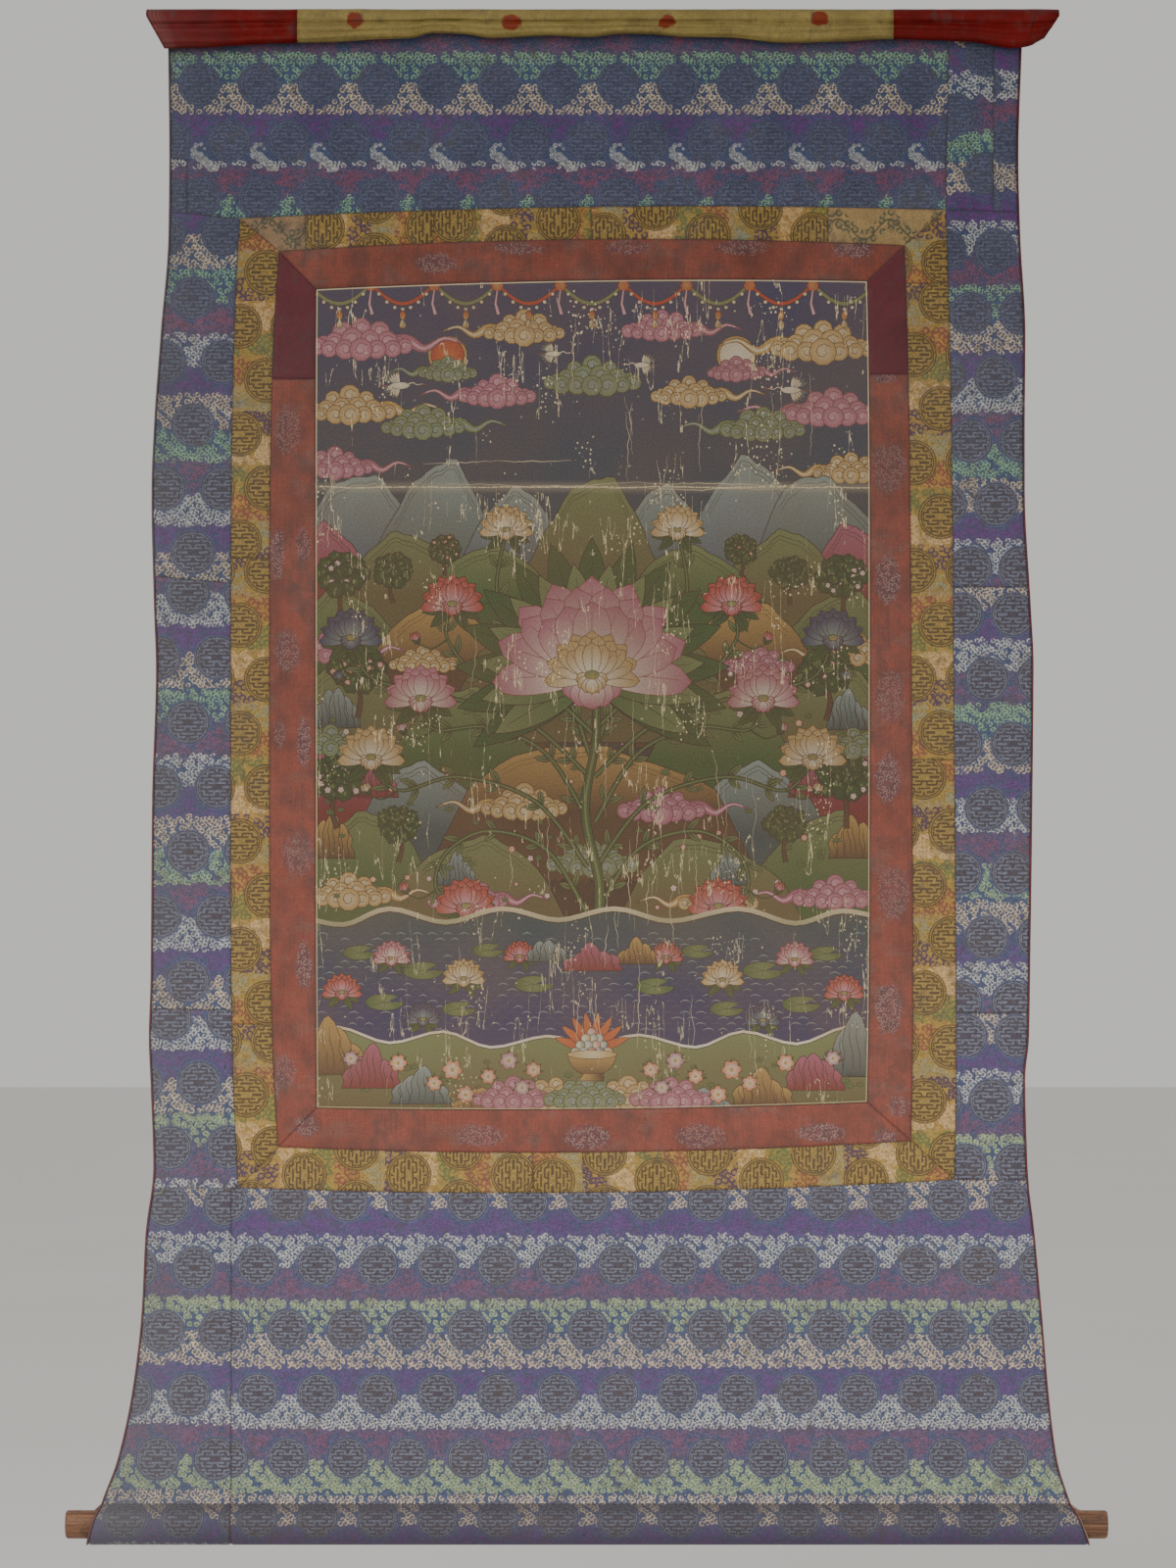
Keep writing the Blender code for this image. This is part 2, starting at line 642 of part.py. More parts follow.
def add_veil_length(collection, name, colour, start, end):
    """Roll up one length of the veil: its section drawn along the top edge, closed at both ends."""
    hang = SmoothLine([(hang.across * MM, hang.low) for hang in VEIL_HANGS])
    stations = evenly(start, end, VEIL_COLUMN_SPACING)
    around = len(VEIL_SECTION)
    loft = bmesh.new()
    bmesh.ops.create_grid(loft, x_segments=len(stations) - 1, y_segments=around, size=1.0)
    for vert in loft.verts:
        across = stations[round((vert.co.x + 1.0) / 2.0 * (len(stations) - 1))]
        point = VEIL_SECTION[round((vert.co.y + 1.0) / 2.0 * around) % around]
        vert.co = veil_place(across, point, hang(across))
    bmesh.ops.remove_doubles(loft, verts=loft.verts, dist=0.01 * MM)
    bmesh.ops.holes_fill(loft, edges=[edge for edge in loft.edges if edge.is_boundary], sides=0)
    bmesh.ops.recalc_face_normals(loft, faces=loft.faces)
    mesh = bpy.data.meshes.new(name)
    loft.to_mesh(mesh)
    loft.free()
    add_object(name, mesh, collection, colour)


def add_veil(collection):
    half_gap = SEAM_GAP / 2.0
    add_veil_length(collection, "veil_left", "veil_red", VEIL_LEFT, VEIL_LEFT_SEAM - half_gap)
    add_veil_length(
        collection, "veil_middle", "veil_yellow", VEIL_LEFT_SEAM + half_gap, VEIL_RIGHT_SEAM - half_gap)
    add_veil_length(collection, "veil_right", "veil_red", VEIL_RIGHT_SEAM + half_gap, VEIL_RIGHT)


def build():
    clear_scene()
    collection = bpy.data.collections.new("thangka_scroll_painting")
    bpy.context.scene.collection.children.link(collection)
    add_painting(collection)
    add_red_border(collection)
    add_yellow_border(collection)
    add_top_brocade(collection)
    add_side_brocade(collection)
    add_bottom_brocade(collection)
    add_bindings(collection)
    add_roller(collection)
    add_veil(collection)


build()
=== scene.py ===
"""Looks for a hanging scroll painting: its cloth, weaves, painting, veil, stitches and roller.

Metres, +Z up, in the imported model's frame. The cloth hangs in the X-Z plane, its painted face looks
along -Y, and the origin is the middle of the cloth's top edge. Cloth is laid out flat by how far across it
lies and how far down it runs, with its patterns, and is then hung over the same buckles and round the same
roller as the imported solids.
"""

import cmath
import math
import random
from collections import namedtuple

import bmesh
import bpy
import numpy as np
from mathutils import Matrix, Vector, noise
from mathutils.geometry import delaunay_2d_cdt

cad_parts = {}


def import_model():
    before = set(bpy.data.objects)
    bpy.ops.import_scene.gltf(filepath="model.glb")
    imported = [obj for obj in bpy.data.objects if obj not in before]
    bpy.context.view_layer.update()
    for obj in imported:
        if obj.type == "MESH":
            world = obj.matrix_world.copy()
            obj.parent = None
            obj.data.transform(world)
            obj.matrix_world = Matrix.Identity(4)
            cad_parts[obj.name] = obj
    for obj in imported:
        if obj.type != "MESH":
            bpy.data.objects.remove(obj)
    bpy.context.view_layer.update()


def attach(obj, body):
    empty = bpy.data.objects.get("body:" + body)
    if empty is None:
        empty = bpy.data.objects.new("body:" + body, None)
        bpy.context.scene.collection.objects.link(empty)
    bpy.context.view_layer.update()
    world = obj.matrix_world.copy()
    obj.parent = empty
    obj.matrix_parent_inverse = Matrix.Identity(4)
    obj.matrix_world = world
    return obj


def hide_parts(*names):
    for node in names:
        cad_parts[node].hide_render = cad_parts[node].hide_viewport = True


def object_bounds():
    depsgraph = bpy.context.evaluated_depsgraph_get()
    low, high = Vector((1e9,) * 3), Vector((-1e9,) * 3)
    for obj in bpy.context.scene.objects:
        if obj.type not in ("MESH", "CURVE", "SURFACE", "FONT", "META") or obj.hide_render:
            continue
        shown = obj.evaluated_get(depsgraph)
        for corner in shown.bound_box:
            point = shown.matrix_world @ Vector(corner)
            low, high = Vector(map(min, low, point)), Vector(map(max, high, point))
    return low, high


MM = 0.001

# Cloth.
CLOTH_THICKNESS = 2.0 * MM
CANVAS_THICKNESS = 1.6 * MM
SEAM_GAP = 0.36 * MM
BINDING_WIDTH = 1.7 * MM
STEP_WIDTH = 1.0 * MM           # a seam that steps sideways does so within this run

# Roller and the hem round it.
ROLLER_RADIUS = 12.5 * MM
ROLLER_LEFT = -467.0 * MM
ROLLER_RIGHT = 457.5 * MM
ROLLER_RUN = 1337.6 * MM        # height of the roller's axis below the top edge
ROLLER_ROUNDING = 2.6 * MM
STITCH_RUN = 1319.8 * MM        # where the hem's turned-in edge is stitched to the panel
HEM_RADIUS = ROLLER_RADIUS + 0.5 * MM + CLOTH_THICKNESS / 2
HEM_SAG = 3.0 * MM              # slack under the roller
HEM_TURN_IN = 12.0 * MM
HEM_STEP = math.radians(15.0)

# Seams, as distances across from the middle and down from the top edge.
CRIMSON_LEFT_END = 321.0 * MM
CRIMSON_RIGHT_END = 316.7 * MM
# The outer two of these are the inner ends of the patches.
YELLOW_TOP_SEAMS = [-254.0 * MM, -140.5 * MM, -0.9 * MM, 209.7 * MM]
YELLOW_BOTTOM_SEAM = -52.2 * MM
YELLOW_LEFT_SEAMS = [480.2 * MM, 893.5 * MM]
YELLOW_RIGHT_SEAMS = [235.8 * MM, 658.6 * MM]
TOP_PATCH_SEAM = -359.3 * MM
TOP_PATCH_START = 125.3 * MM
OUTER_LENGTH_SEAM = 356.5 * MM
BOTTOM_SEAM_ACROSS = -320.4 * MM
SIDE_TOP_LEFT = 172.5 * MM
SIDE_TOP_RIGHT = 172.8 * MM
SIDE_BOTTOM_RIGHT = 1031.8 * MM
# The left strip's seams slope, each from its outer end's run to its inner end's.
BROCADE_LEFT_SEAMS = [(495.9 * MM, 502.0 * MM), (879.6 * MM, 880.9 * MM)]
BROCADE_RIGHT_SEAMS = [505.5 * MM, 883.9 * MM]

Point = namedtuple("Point", "across run")
Border = namedtuple(
    "Border", "left_top right_top right_bottom left_bottom top_bow bottom_bow left_bow right_bow")
PAINTING = Border(
    Point(-245.0, 240.8), Point(244.5, 233.7), Point(244.5, 963.0), Point(-244.5, 967.9),
    top_bow=-4.3, bottom_bow=3.7, left_bow=-0.9, right_bow=2.6)
RED = Border(
    Point(-277.8, 207.5), Point(277.4, 202.2), Point(283.2, 997.2), Point(-278.4, 1002.5),
    top_bow=-8.0, bottom_bow=7.4, left_bow=-8.1, right_bow=3.5)
YELLOW = Border(
    Point(-312.3, 178.4), Point(314.1, 170.5), Point(321.7, 1031.4), Point(-313.7, 1038.5),
    top_bow=-6.5, bottom_bow=7.8, left_bow=-7.6, right_bow=3.5)
LEVEL_BOW_POWER = 2
UPRIGHT_BOW_POWER = 4
TOP_PANEL_LEAN = 3.2            # in millimetres

# The mount's outer edges in millimetres: they draw in beside the painting and flare towards the roller.
Edge = namedtuple("Edge", "run left right")
OUTLINE = [
    Edge(0.0, -376.4, 382.0),
    Edge(123.0, -375.2, 378.6),
    Edge(193.0, -376.0, 380.2),
    Edge(280.0, -382.8, 384.5),
    Edge(367.0, -388.8, 383.7),
    Edge(419.0, -390.6, 383.8),
    Edge(524.0, -388.2, 389.6),
    Edge(576.0, -386.6, 392.2),
    Edge(698.0, -390.4, 391.4),
    Edge(854.0, -391.5, 388.9),
    Edge(906.0, -393.0, 387.6),
    Edge(942.0, -391.6, 384.0),
    Edge(1020.0, -389.2, 386.3),
    Edge(1080.0, -396.4, 393.0),
    Edge(1150.0, -400.2, 399.3),
    Edge(1220.0, -408.4, 405.4),
    Edge(1280.6, -421.5, 413.3),
    Edge(1319.8, -435.9, 425.4),
    Edge(1368.0, -448.8, 442.0),
    Edge(1396.0, -447.0, 440.0),
    Edge(1412.0, -437.0, 427.0),        # the turned-in end is trimmed to stay behind the cloth
    Edge(1428.0, -427.0, 416.0),
]

# Soft buckles of the hanging cloth in millimetres: a negative rise comes forward.
Buckle = namedtuple("Buckle", "across run width height rise")
BUCKLES = [
    Buckle(-60.0, 470.0, 210.0, 150.0, -4.5),
    Buckle(130.0, 800.0, 230.0, 170.0, 3.5),
    Buckle(-388.0, 500.0, 70.0, 150.0, -8.0),
    Buckle(-392.0, 900.0, 60.0, 170.0, -6.0),
    Buckle(388.0, 380.0, 60.0, 130.0, -7.0),
    Buckle(390.0, 690.0, 60.0, 110.0, 4.0),
    Buckle(388.0, 960.0, 65.0, 90.0, -9.0),
    Buckle(-360.0, 1150.0, 90.0, 90.0, 5.0),
    Buckle(-170.0, 1165.0, 110.0, 90.0, -4.0),
    Buckle(60.0, 1150.0, 120.0, 90.0, 4.0),
    Buckle(340.0, 1160.0, 100.0, 90.0, -6.0),
    Buckle(-300.0, 125.0, 80.0, 60.0, -3.0),
    Buckle(250.0, 120.0, 100.0, 60.0, 2.5),
]
FLAT_AT_TOP = 34.0 * MM         # the cloth is straight where it hangs and where it meets the roller
FLAT_AT_STITCH = 1288.0 * MM
EASE_RUN = 110.0 * MM

# The veil: its lowest edge below the top edge, in millimetres.
Hang = namedtuple("Hang", "across low")
VEIL_HANGS = [
    Hang(-395.0, 28.2),
    Hang(-345.0, 27.6),
    Hang(-290.0, 24.4),
    Hang(-235.0, 22.8),
    Hang(-186.0, 19.8),
    Hang(-160.0, 19.4),
    Hang(-142.0, 14.6),
    Hang(-112.0, 15.7),
    Hang(-90.0, 19.2),
    Hang(-38.0, 16.6),
    Hang(-4.0, 18.2),
    Hang(24.0, 15.2),
    Hang(54.0, 15.8),
    Hang(84.0, 18.3),
    Hang(118.0, 18.4),
    Hang(172.0, 23.4),
    Hang(214.0, 22.2),
    Hang(267.0, 20.2),
    Hang(336.0, 22.6),
    Hang(374.0, 28.3),
    Hang(396.0, 26.4),
    Hang(414.0, 19.0),
]
VEIL_LEFT = -395.0 * MM
VEIL_RIGHT = 414.0 * MM
VEIL_LEFT_SEAM = -261.0 * MM
VEIL_RIGHT_SEAM = 267.1 * MM
VEIL_FOLD_DEPTH = 1.5           # in millimetres
VEIL_FOLD_WAVES = [(0.031, 0.4), (0.083, 2.1)]      # waves per millimetre, and phase


class SmoothLine:
    """A smooth line through pairs of place and value that never swings past its own values."""

    def __init__(self, pairs):
        self.places = [place for place, _ in pairs]
        self.values = [value for _, value in pairs]
        steps = [
            (after - before) / (end - start)
            for start, end, before, after in zip(self.places, self.places[1:], self.values, self.values[1:])]
        self.slopes = [0.0] + [self.mean_slope(one, two) for one, two in zip(steps, steps[1:])] + [steps[-1]]

    @staticmethod
    def mean_slope(one, two):
        return 2.0 * one * two / (one + two) if one * two > 0.0 else 0.0

    def __call__(self, place):
        place = min(max(place, self.places[0]), self.places[-1])
        last = max(index for index, start in enumerate(self.places[:-1]) if start <= place)
        width = self.places[last + 1] - self.places[last]
        share = (place - self.places[last]) / width
        rise = self.values[last + 1] - self.values[last]
        ease = share * share * (3.0 - 2.0 * share)
        leave = share * (1.0 - share) ** 2 * width * self.slopes[last]
        arrive = share * share * (share - 1.0) * width * self.slopes[last + 1]
        return self.values[last] + rise * ease + leave + arrive


def smooth_step(low, high, value):
    """Rise smoothly from 0 at low to 1 at high."""
    share = min(max((value - low) / (high - low), 0.0), 1.0)
    return share * share * (3.0 - 2.0 * share)


def evenly(start, end, spacing):
    """List places from start to end, evenly spread and at most about one spacing apart."""
    count = max(1, round((end - start) / spacing))
    return [start + (end - start) * index / count for index in range(count + 1)]


# Seams and edges.

def bowed_line(start, end, bow, power, along, value):
    """Give the seam between two corners as a function: straight, but for its bow in the middle."""
    first = getattr(start, along) * MM
    last = getattr(end, along) * MM
    begin = getattr(start, value) * MM
    finish = getattr(end, value) * MM

    def seam(place):
        share = (place - first) / (last - first)
        return begin + (finish - begin) * share + bow * MM * (1.0 - abs(2.0 * share - 1.0) ** power)
    return seam


def level_edge(start, end, bow):
    return bowed_line(start, end, bow, LEVEL_BOW_POWER, "across", "run")


def upright_edge(start, end, bow):
    return bowed_line(start, end, bow, UPRIGHT_BOW_POWER, "run", "across")


def top_edge(border):
    return level_edge(border.left_top, border.right_top, border.top_bow)


def bottom_edge(border):
    return level_edge(border.left_bottom, border.right_bottom, border.bottom_bow)


def left_edge(border):
    return upright_edge(border.left_top, border.left_bottom, border.left_bow)


def right_edge(border):
    return upright_edge(border.right_top, border.right_bottom, border.right_bow)


def straight(start, end, along, value):
    """Give the straight seam between two corners, such as a mitre, as a function."""
    return bowed_line(start, end, 0.0, LEVEL_BOW_POWER, along, value)


def fixed(place):
    """Give a seam that stays at one place as a function."""
    return lambda _: place


outline_left = SmoothLine([(edge.run * MM, edge.left * MM) for edge in OUTLINE])
outline_right = SmoothLine([(edge.run * MM, edge.right * MM) for edge in OUTLINE])


def mount_left(run):
    """The mount's left edge inside its binding."""
    return outline_left(run) + BINDING_WIDTH


def mount_right(run):
    return outline_right(run) - BINDING_WIDTH


def upper_seam(across):
    """The seam under the top panel: level at the sides, and along the yellow border between them."""
    left = YELLOW.left_top.across * MM
    right = YELLOW.right_top.across * MM
    if across < left:
        share = (across - outline_left(SIDE_TOP_LEFT)) / (left - outline_left(SIDE_TOP_LEFT))
        return SIDE_TOP_LEFT + (YELLOW.left_top.run * MM - SIDE_TOP_LEFT) * share
    if across > right:
        share = (across - right) / (outline_right(SIDE_TOP_RIGHT) - right)
        return YELLOW.right_top.run * MM + (SIDE_TOP_RIGHT - YELLOW.right_top.run * MM) * share
    return top_edge(YELLOW)(across)


def lower_seam(across):
    """The seam over the bottom panel: along the yellow border, and level at the right side."""
    left = YELLOW.left_bottom.across * MM
    right = YELLOW.right_bottom.across * MM
    if across < left:
        share = (left - across) / (left - BOTTOM_SEAM_ACROSS)
        return YELLOW.left_bottom.run * MM + STEP_WIDTH * min(share, 1.0)
    if across > right:
        return YELLOW.right_bottom.run * MM + (SIDE_BOTTOM_RIGHT - YELLOW.right_bottom.run * MM) * (
            (across - right) / (mount_right(SIDE_BOTTOM_RIGHT) - right))
    return bottom_edge(YELLOW)(across)


def top_panel_left(run):
    """The top panel's left edge, which steps in over the small patch."""
    step = smooth_step(TOP_PATCH_START, TOP_PATCH_START + STEP_WIDTH, run)
    return mount_left(run) * (1.0 - step) + TOP_PATCH_SEAM * step


def top_panel_right(run):
    """The seam right of the top panel, which leans in on its way down to the yellow border."""
    top = YELLOW.right_top
    return straight(Point(top.across + TOP_PANEL_LEAN, 0.0), top, "run", "across")(run)


def side_seam_left(first_run, last_run):
    """A level seam across the left strip, a little lower at its inner end."""
    outer = outline_left(first_run)
    inner = left_edge(YELLOW)(last_run)

    def seam(across):
        return first_run + (last_run - first_run) * (across - outer) / (inner - outer)
    return seam


def left_lower_right(run):
    """The lowest left length's inner edge: the yellow border, then a step back to the bottom panel."""
    corner = YELLOW.left_bottom.run * MM
    if run <= corner:
        return left_edge(YELLOW)(run)
    share = min((run - corner) / STEP_WIDTH, 1.0)
    return YELLOW.left_bottom.across * MM * (1.0 - share) + BOTTOM_SEAM_ACROSS * share


def fitted_run(row, first, last, top_shift, bottom_shift):
    """Move a row between a piece's first and last run with the piece's uneven top and bottom edges.

    The edges' shifts fade out towards the piece's middle, so a row in the other half stays where it is.
    """
    share = (row - first) / (last - first)
    return row + top_shift * max(1.0 - 2.0 * share, 0.0) + bottom_shift * max(2.0 * share - 1.0, 0.0)


# The hung shape.

def hem_path():
    """Trace the hem from its stitches round the roller and up behind it, as depth and run."""
    drop = ROLLER_RUN - STITCH_RUN
    lap = CLOTH_THICKNESS + SEAM_GAP
    front_leave = math.acos(HEM_RADIUS / drop)
    back_leave = math.atan2(lap, drop) + math.acos(HEM_RADIUS / math.hypot(lap, drop))
    points = [(0.0, STITCH_RUN)]
    for angle in evenly(front_leave, 2.0 * math.pi - back_leave, HEM_STEP):
        low = max(-math.cos(angle), 0.0) * HEM_SAG
        points.append((-HEM_RADIUS * math.sin(angle), ROLLER_RUN - HEM_RADIUS * math.cos(angle) + low))
    points.append((lap, STITCH_RUN))
    points.append((lap, STITCH_RUN - HEM_TURN_IN))
    return points


def running_lengths(points, start):
    """Give each point's run along the cloth, from start at the first one."""
    runs = [start]
    for before, after in zip(points, points[1:]):
        runs.append(runs[-1] + math.dist(before, after))
    return runs


HEM_PATH = hem_path()
HEM_RUNS = running_lengths(HEM_PATH, STITCH_RUN)
CLOTH_END = HEM_RUNS[-1]


def buckle_depth(across, run):
    """How far behind the hanging plane the cloth lies."""
    depth = 0.0
    for buckle in BUCKLES:
        sideways = (across / MM - buckle.across) / buckle.width
        down = (run / MM - buckle.run) / buckle.height
        depth += buckle.rise * MM * math.exp(-sideways ** 2 - down ** 2)
    below_top = smooth_step(FLAT_AT_TOP, FLAT_AT_TOP + EASE_RUN, run)
    above_stitch = 1.0 - smooth_step(FLAT_AT_STITCH - EASE_RUN, FLAT_AT_STITCH, run)
    return depth * below_top * above_stitch


def hung(across, run):
    """Hang one flat place of the cloth."""
    if run <= STITCH_RUN:
        return Vector((across, buckle_depth(across, run), -run))
    last = max(index for index, start in enumerate(HEM_RUNS[:-1]) if start <= run)
    share = (run - HEM_RUNS[last]) / (HEM_RUNS[last + 1] - HEM_RUNS[last])
    (depth, down), (next_depth, next_down) = HEM_PATH[last], HEM_PATH[last + 1]
    return Vector((across, depth + (next_depth - depth) * share, -down - (next_down - down) * share))


# Cuts and their repeats, in millimetres.

# Where a piece's pattern falls: a roundel's middle, its pitch, its row spacing, the middle of a purple band,
# the direction of the colour cycle, whether the cloth is laid on its side, how far its columns lean as they
# go down, and the roundels' radius.
Repeat = namedtuple("Repeat", "across run pitch row band direction turned lean radius")
ROWS_PER_CYCLE = 2.5            # rows of roundels in one cycle of colours
ROUNDEL_RADIUS = 18.9
YELLOW_PITCH = 47.9
UPRIGHT_ROW = 47.9
LEVEL_ROW = 46.4


def blue_repeat(across, run, pitch, row, band, direction=1.0, lean=0.0, radius=ROUNDEL_RADIUS):
    return Repeat(across, run, pitch, row, band, direction, False, lean, radius)


def upright_repeat(across, run, band, direction=1.0):
    return blue_repeat(across, run, YELLOW_PITCH, UPRIGHT_ROW, band, direction)


def level_repeat(across, run, band, direction=1.0):
    return Repeat(across, run, YELLOW_PITCH, LEVEL_ROW, band, direction, True, 0.0, ROUNDEL_RADIUS)


REPEATS = {
    "brocade_top_panel": blue_repeat(-295.4, 59.2, 53.1, 50.9, 98.3),
    "brocade_top_left_patch": blue_repeat(-372.4, 161.8, 53.1, 51.3, 98.3),
    "brocade_top_right_inner": blue_repeat(322.8, 86.1, 53.1, 52.2, 38.3),
    "brocade_top_right_outer": blue_repeat(370.6, 111.4, 53.1, 52.2, 38.3),
    "brocade_right_upper": blue_repeat(335.8, 375.8, 44.8, 56.5, 454.1),
    "brocade_right_middle": blue_repeat(350.6, 587.2, 46.1, 57.4, 541.1),
    "brocade_right_lower": blue_repeat(331.5, 903.9, 44.8, 57.4, 923.9),
    "brocade_left_upper": blue_repeat(-353.7, 475.0, 51.3, 56.5, 461.1, -1.0),
    "brocade_left_middle": blue_repeat(-358.4, 855.2, 51.3, 57.4, 836.9, -1.0),
    "brocade_left_lower": blue_repeat(-376.7, 1053.6, 51.3, 56.4, 1068.4, lean=-0.04),
    "brocade_bottom_panel": blue_repeat(-296.7, 1107.5, 53.3, 57.0, 1071.0, radius=17.9),
    "yellow_border_left_upper": upright_repeat(-288.8, 226.2, 240.1, -1.0),
    "yellow_border_left_middle": upright_repeat(-288.8, 491.6, 479.4),
    "yellow_border_left_lower": upright_repeat(-282.8, 908.3, 898.7),
    "yellow_border_right_upper": upright_repeat(312.3, 217.5, 186.2),
    "yellow_border_right_middle": upright_repeat(309.7, 251.4, 241.0),
    "yellow_border_right_lower": upright_repeat(294.9, 674.2, 709.9, -1.0),
    "yellow_border_top_left": level_repeat(-239.2, 187.1, -206.2),
    "yellow_border_top_middle": level_repeat(-122.7, 180.1, -177.5),
    "yellow_border_top_right": level_repeat(10.4, 193.1, 37.4, -1.0),
    "yellow_border_bottom_left": level_repeat(-255.3, 1027.5, -174.0, -1.0),
    "yellow_border_bottom_right": level_repeat(11.3, 1008.3, 1.7, -1.0),
}
# The lower left length is pieced level with the yellow border's corner. This is its pattern above that.
PIECED_NODE = "brocade_left_lower"
PIECED_RUN = YELLOW.left_bottom.run * MM
PIECED_REPEAT = blue_repeat(-348.5, 945.5, 51.3, 57.4, 926.7, -1.0)
UNPATTERNED = blue_repeat(0.0, 0.0, 50.0, 50.0, 0.0)


def repeat_at(node, run):
    """The repeat that a piece's pattern follows at one run."""
    if node == PIECED_NODE and run < PIECED_RUN + STEP_WIDTH / 2.0:
        return PIECED_REPEAT
    return REPEATS.get(node, UNPATTERNED)


def weave_place(repeat, across, run):
    """A flat place in a piece's repeats: along its pitch, along its rows, and in its cycle of colours."""
    along, over = (run, across) if repeat.turned else (across, run)
    start, first = (repeat.run, repeat.across) if repeat.turned else (repeat.across, repeat.run)
    rows = (over - first) / repeat.row
    band = (over - repeat.band) / repeat.row / ROWS_PER_CYCLE * repeat.direction
    return (along - start - repeat.lean * (over - first)) / repeat.pitch, rows, band


# Each piece's cut.

Cut = namedtuple("Cut", "node slot left right top bottom at own_rows")


def cut(node, slot, left, right, top, bottom, at=0.0, own_rows=()):
    return Cut(node, slot, left, right, top, bottom, at, own_rows)


def middle_of(one, two):
    """The place across halfway between two corners."""
    return (one.across + two.across) / 2.0 * MM


def mitres(outer, inner):
    """Give a border's four corner seams, each as a run for a place across and as a place across for a run."""
    corners = ["left_top", "right_top", "right_bottom", "left_bottom"]
    return {
        corner: (
            straight(getattr(outer, corner), getattr(inner, corner), "across", "run"),
            straight(getattr(outer, corner), getattr(inner, corner), "run", "across"))
        for corner in corners}


def red_cuts():
    corner = mitres(RED, PAINTING)
    left = (left_edge(RED), left_edge(PAINTING))
    right = (right_edge(PAINTING), right_edge(RED))
    left_seam = fixed(CRIMSON_LEFT_END)
    right_seam = fixed(CRIMSON_RIGHT_END)
    left_at = middle_of(RED.left_top, PAINTING.left_top)
    right_at = middle_of(PAINTING.right_top, RED.right_top)
    return [
        cut("red_border_top", "red_silk", corner["left_top"][1], corner["right_top"][1],
            top_edge(RED), top_edge(PAINTING)),
        cut("red_border_bottom", "red_silk", corner["left_bottom"][1], corner["right_bottom"][1],
            bottom_edge(PAINTING), bottom_edge(RED)),
        cut("red_border_left_upper", "crimson_silk", *left, corner["left_top"][0], left_seam, left_at),
        cut("red_border_left_lower", "red_silk", *left, left_seam, corner["left_bottom"][0], left_at),
        cut("red_border_right_upper", "crimson_silk", *right, corner["right_top"][0], right_seam, right_at),
        cut("red_border_right_lower", "red_silk", *right, right_seam, corner["right_bottom"][0], right_at),
    ]


def yellow_cuts():
    corner = mitres(YELLOW, RED)
    across_top = (top_edge(YELLOW), top_edge(RED))
    top_ends = [corner["left_top"][1], *map(fixed, YELLOW_TOP_SEAMS), corner["right_top"][1]]
    top_places = ["left_patch", "left", "middle", "right", "right_patch"]
    cuts = [
        cut(f"yellow_border_top_{place}", "beige_brocade" if place.endswith("patch") else "yellow_brocade",
            start, end, *across_top)
        for place, start, end in zip(top_places, top_ends, top_ends[1:])]
    across_bottom = (bottom_edge(RED), bottom_edge(YELLOW))
    bottom_ends = [corner["left_bottom"][1], fixed(YELLOW_BOTTOM_SEAM), corner["right_bottom"][1]]
    cuts += [
        cut(f"yellow_border_bottom_{place}", "yellow_brocade", start, end, *across_bottom)
        for place, start, end in zip(["left", "right"], bottom_ends, bottom_ends[1:])]
    left = (left_edge(YELLOW), left_edge(RED))
    left_at = middle_of(YELLOW.left_top, RED.left_top)
    left_ends = [corner["left_top"][0], *map(fixed, YELLOW_LEFT_SEAMS), corner["left_bottom"][0]]
    right = (right_edge(RED), right_edge(YELLOW))
    right_at = middle_of(RED.right_top, YELLOW.right_top)
    right_ends = [corner["right_top"][0], *map(fixed, YELLOW_RIGHT_SEAMS), corner["right_bottom"][0]]
    for side, sides, ends, at in [("left", left, left_ends, left_at), ("right", right, right_ends, right_at)]:
        cuts += [
            cut(f"yellow_border_{side}_{place}", "yellow_brocade", *sides, top, bottom, at)
            for place, top, bottom in zip(["upper", "middle", "lower"], ends, ends[1:])]
    return cuts


def top_brocade_cuts():
    slot = "blue_brocade"
    last = upper_seam(TOP_PATCH_SEAM)

    def patch_top(across):
        left = mount_left(TOP_PATCH_START)
        step = STEP_WIDTH * (across - left) / (TOP_PATCH_SEAM - left)
        return fitted_run(TOP_PATCH_START + step, 0.0, last, 0.0, upper_seam(across) - last)
    return [
        cut("brocade_top_panel", slot, top_panel_left, top_panel_right, fixed(0.0), upper_seam,
            TOP_PATCH_SEAM, [TOP_PATCH_START, TOP_PATCH_START + STEP_WIDTH]),
        cut("brocade_top_left_patch", slot, mount_left, fixed(TOP_PATCH_SEAM), patch_top, upper_seam,
            TOP_PATCH_SEAM),
        cut("brocade_top_right_inner", slot, top_panel_right, fixed(OUTER_LENGTH_SEAM), fixed(0.0), upper_seam,
            OUTER_LENGTH_SEAM),
        cut("brocade_top_right_outer", slot, fixed(OUTER_LENGTH_SEAM), mount_right, fixed(0.0), upper_seam,
            OUTER_LENGTH_SEAM),
    ]


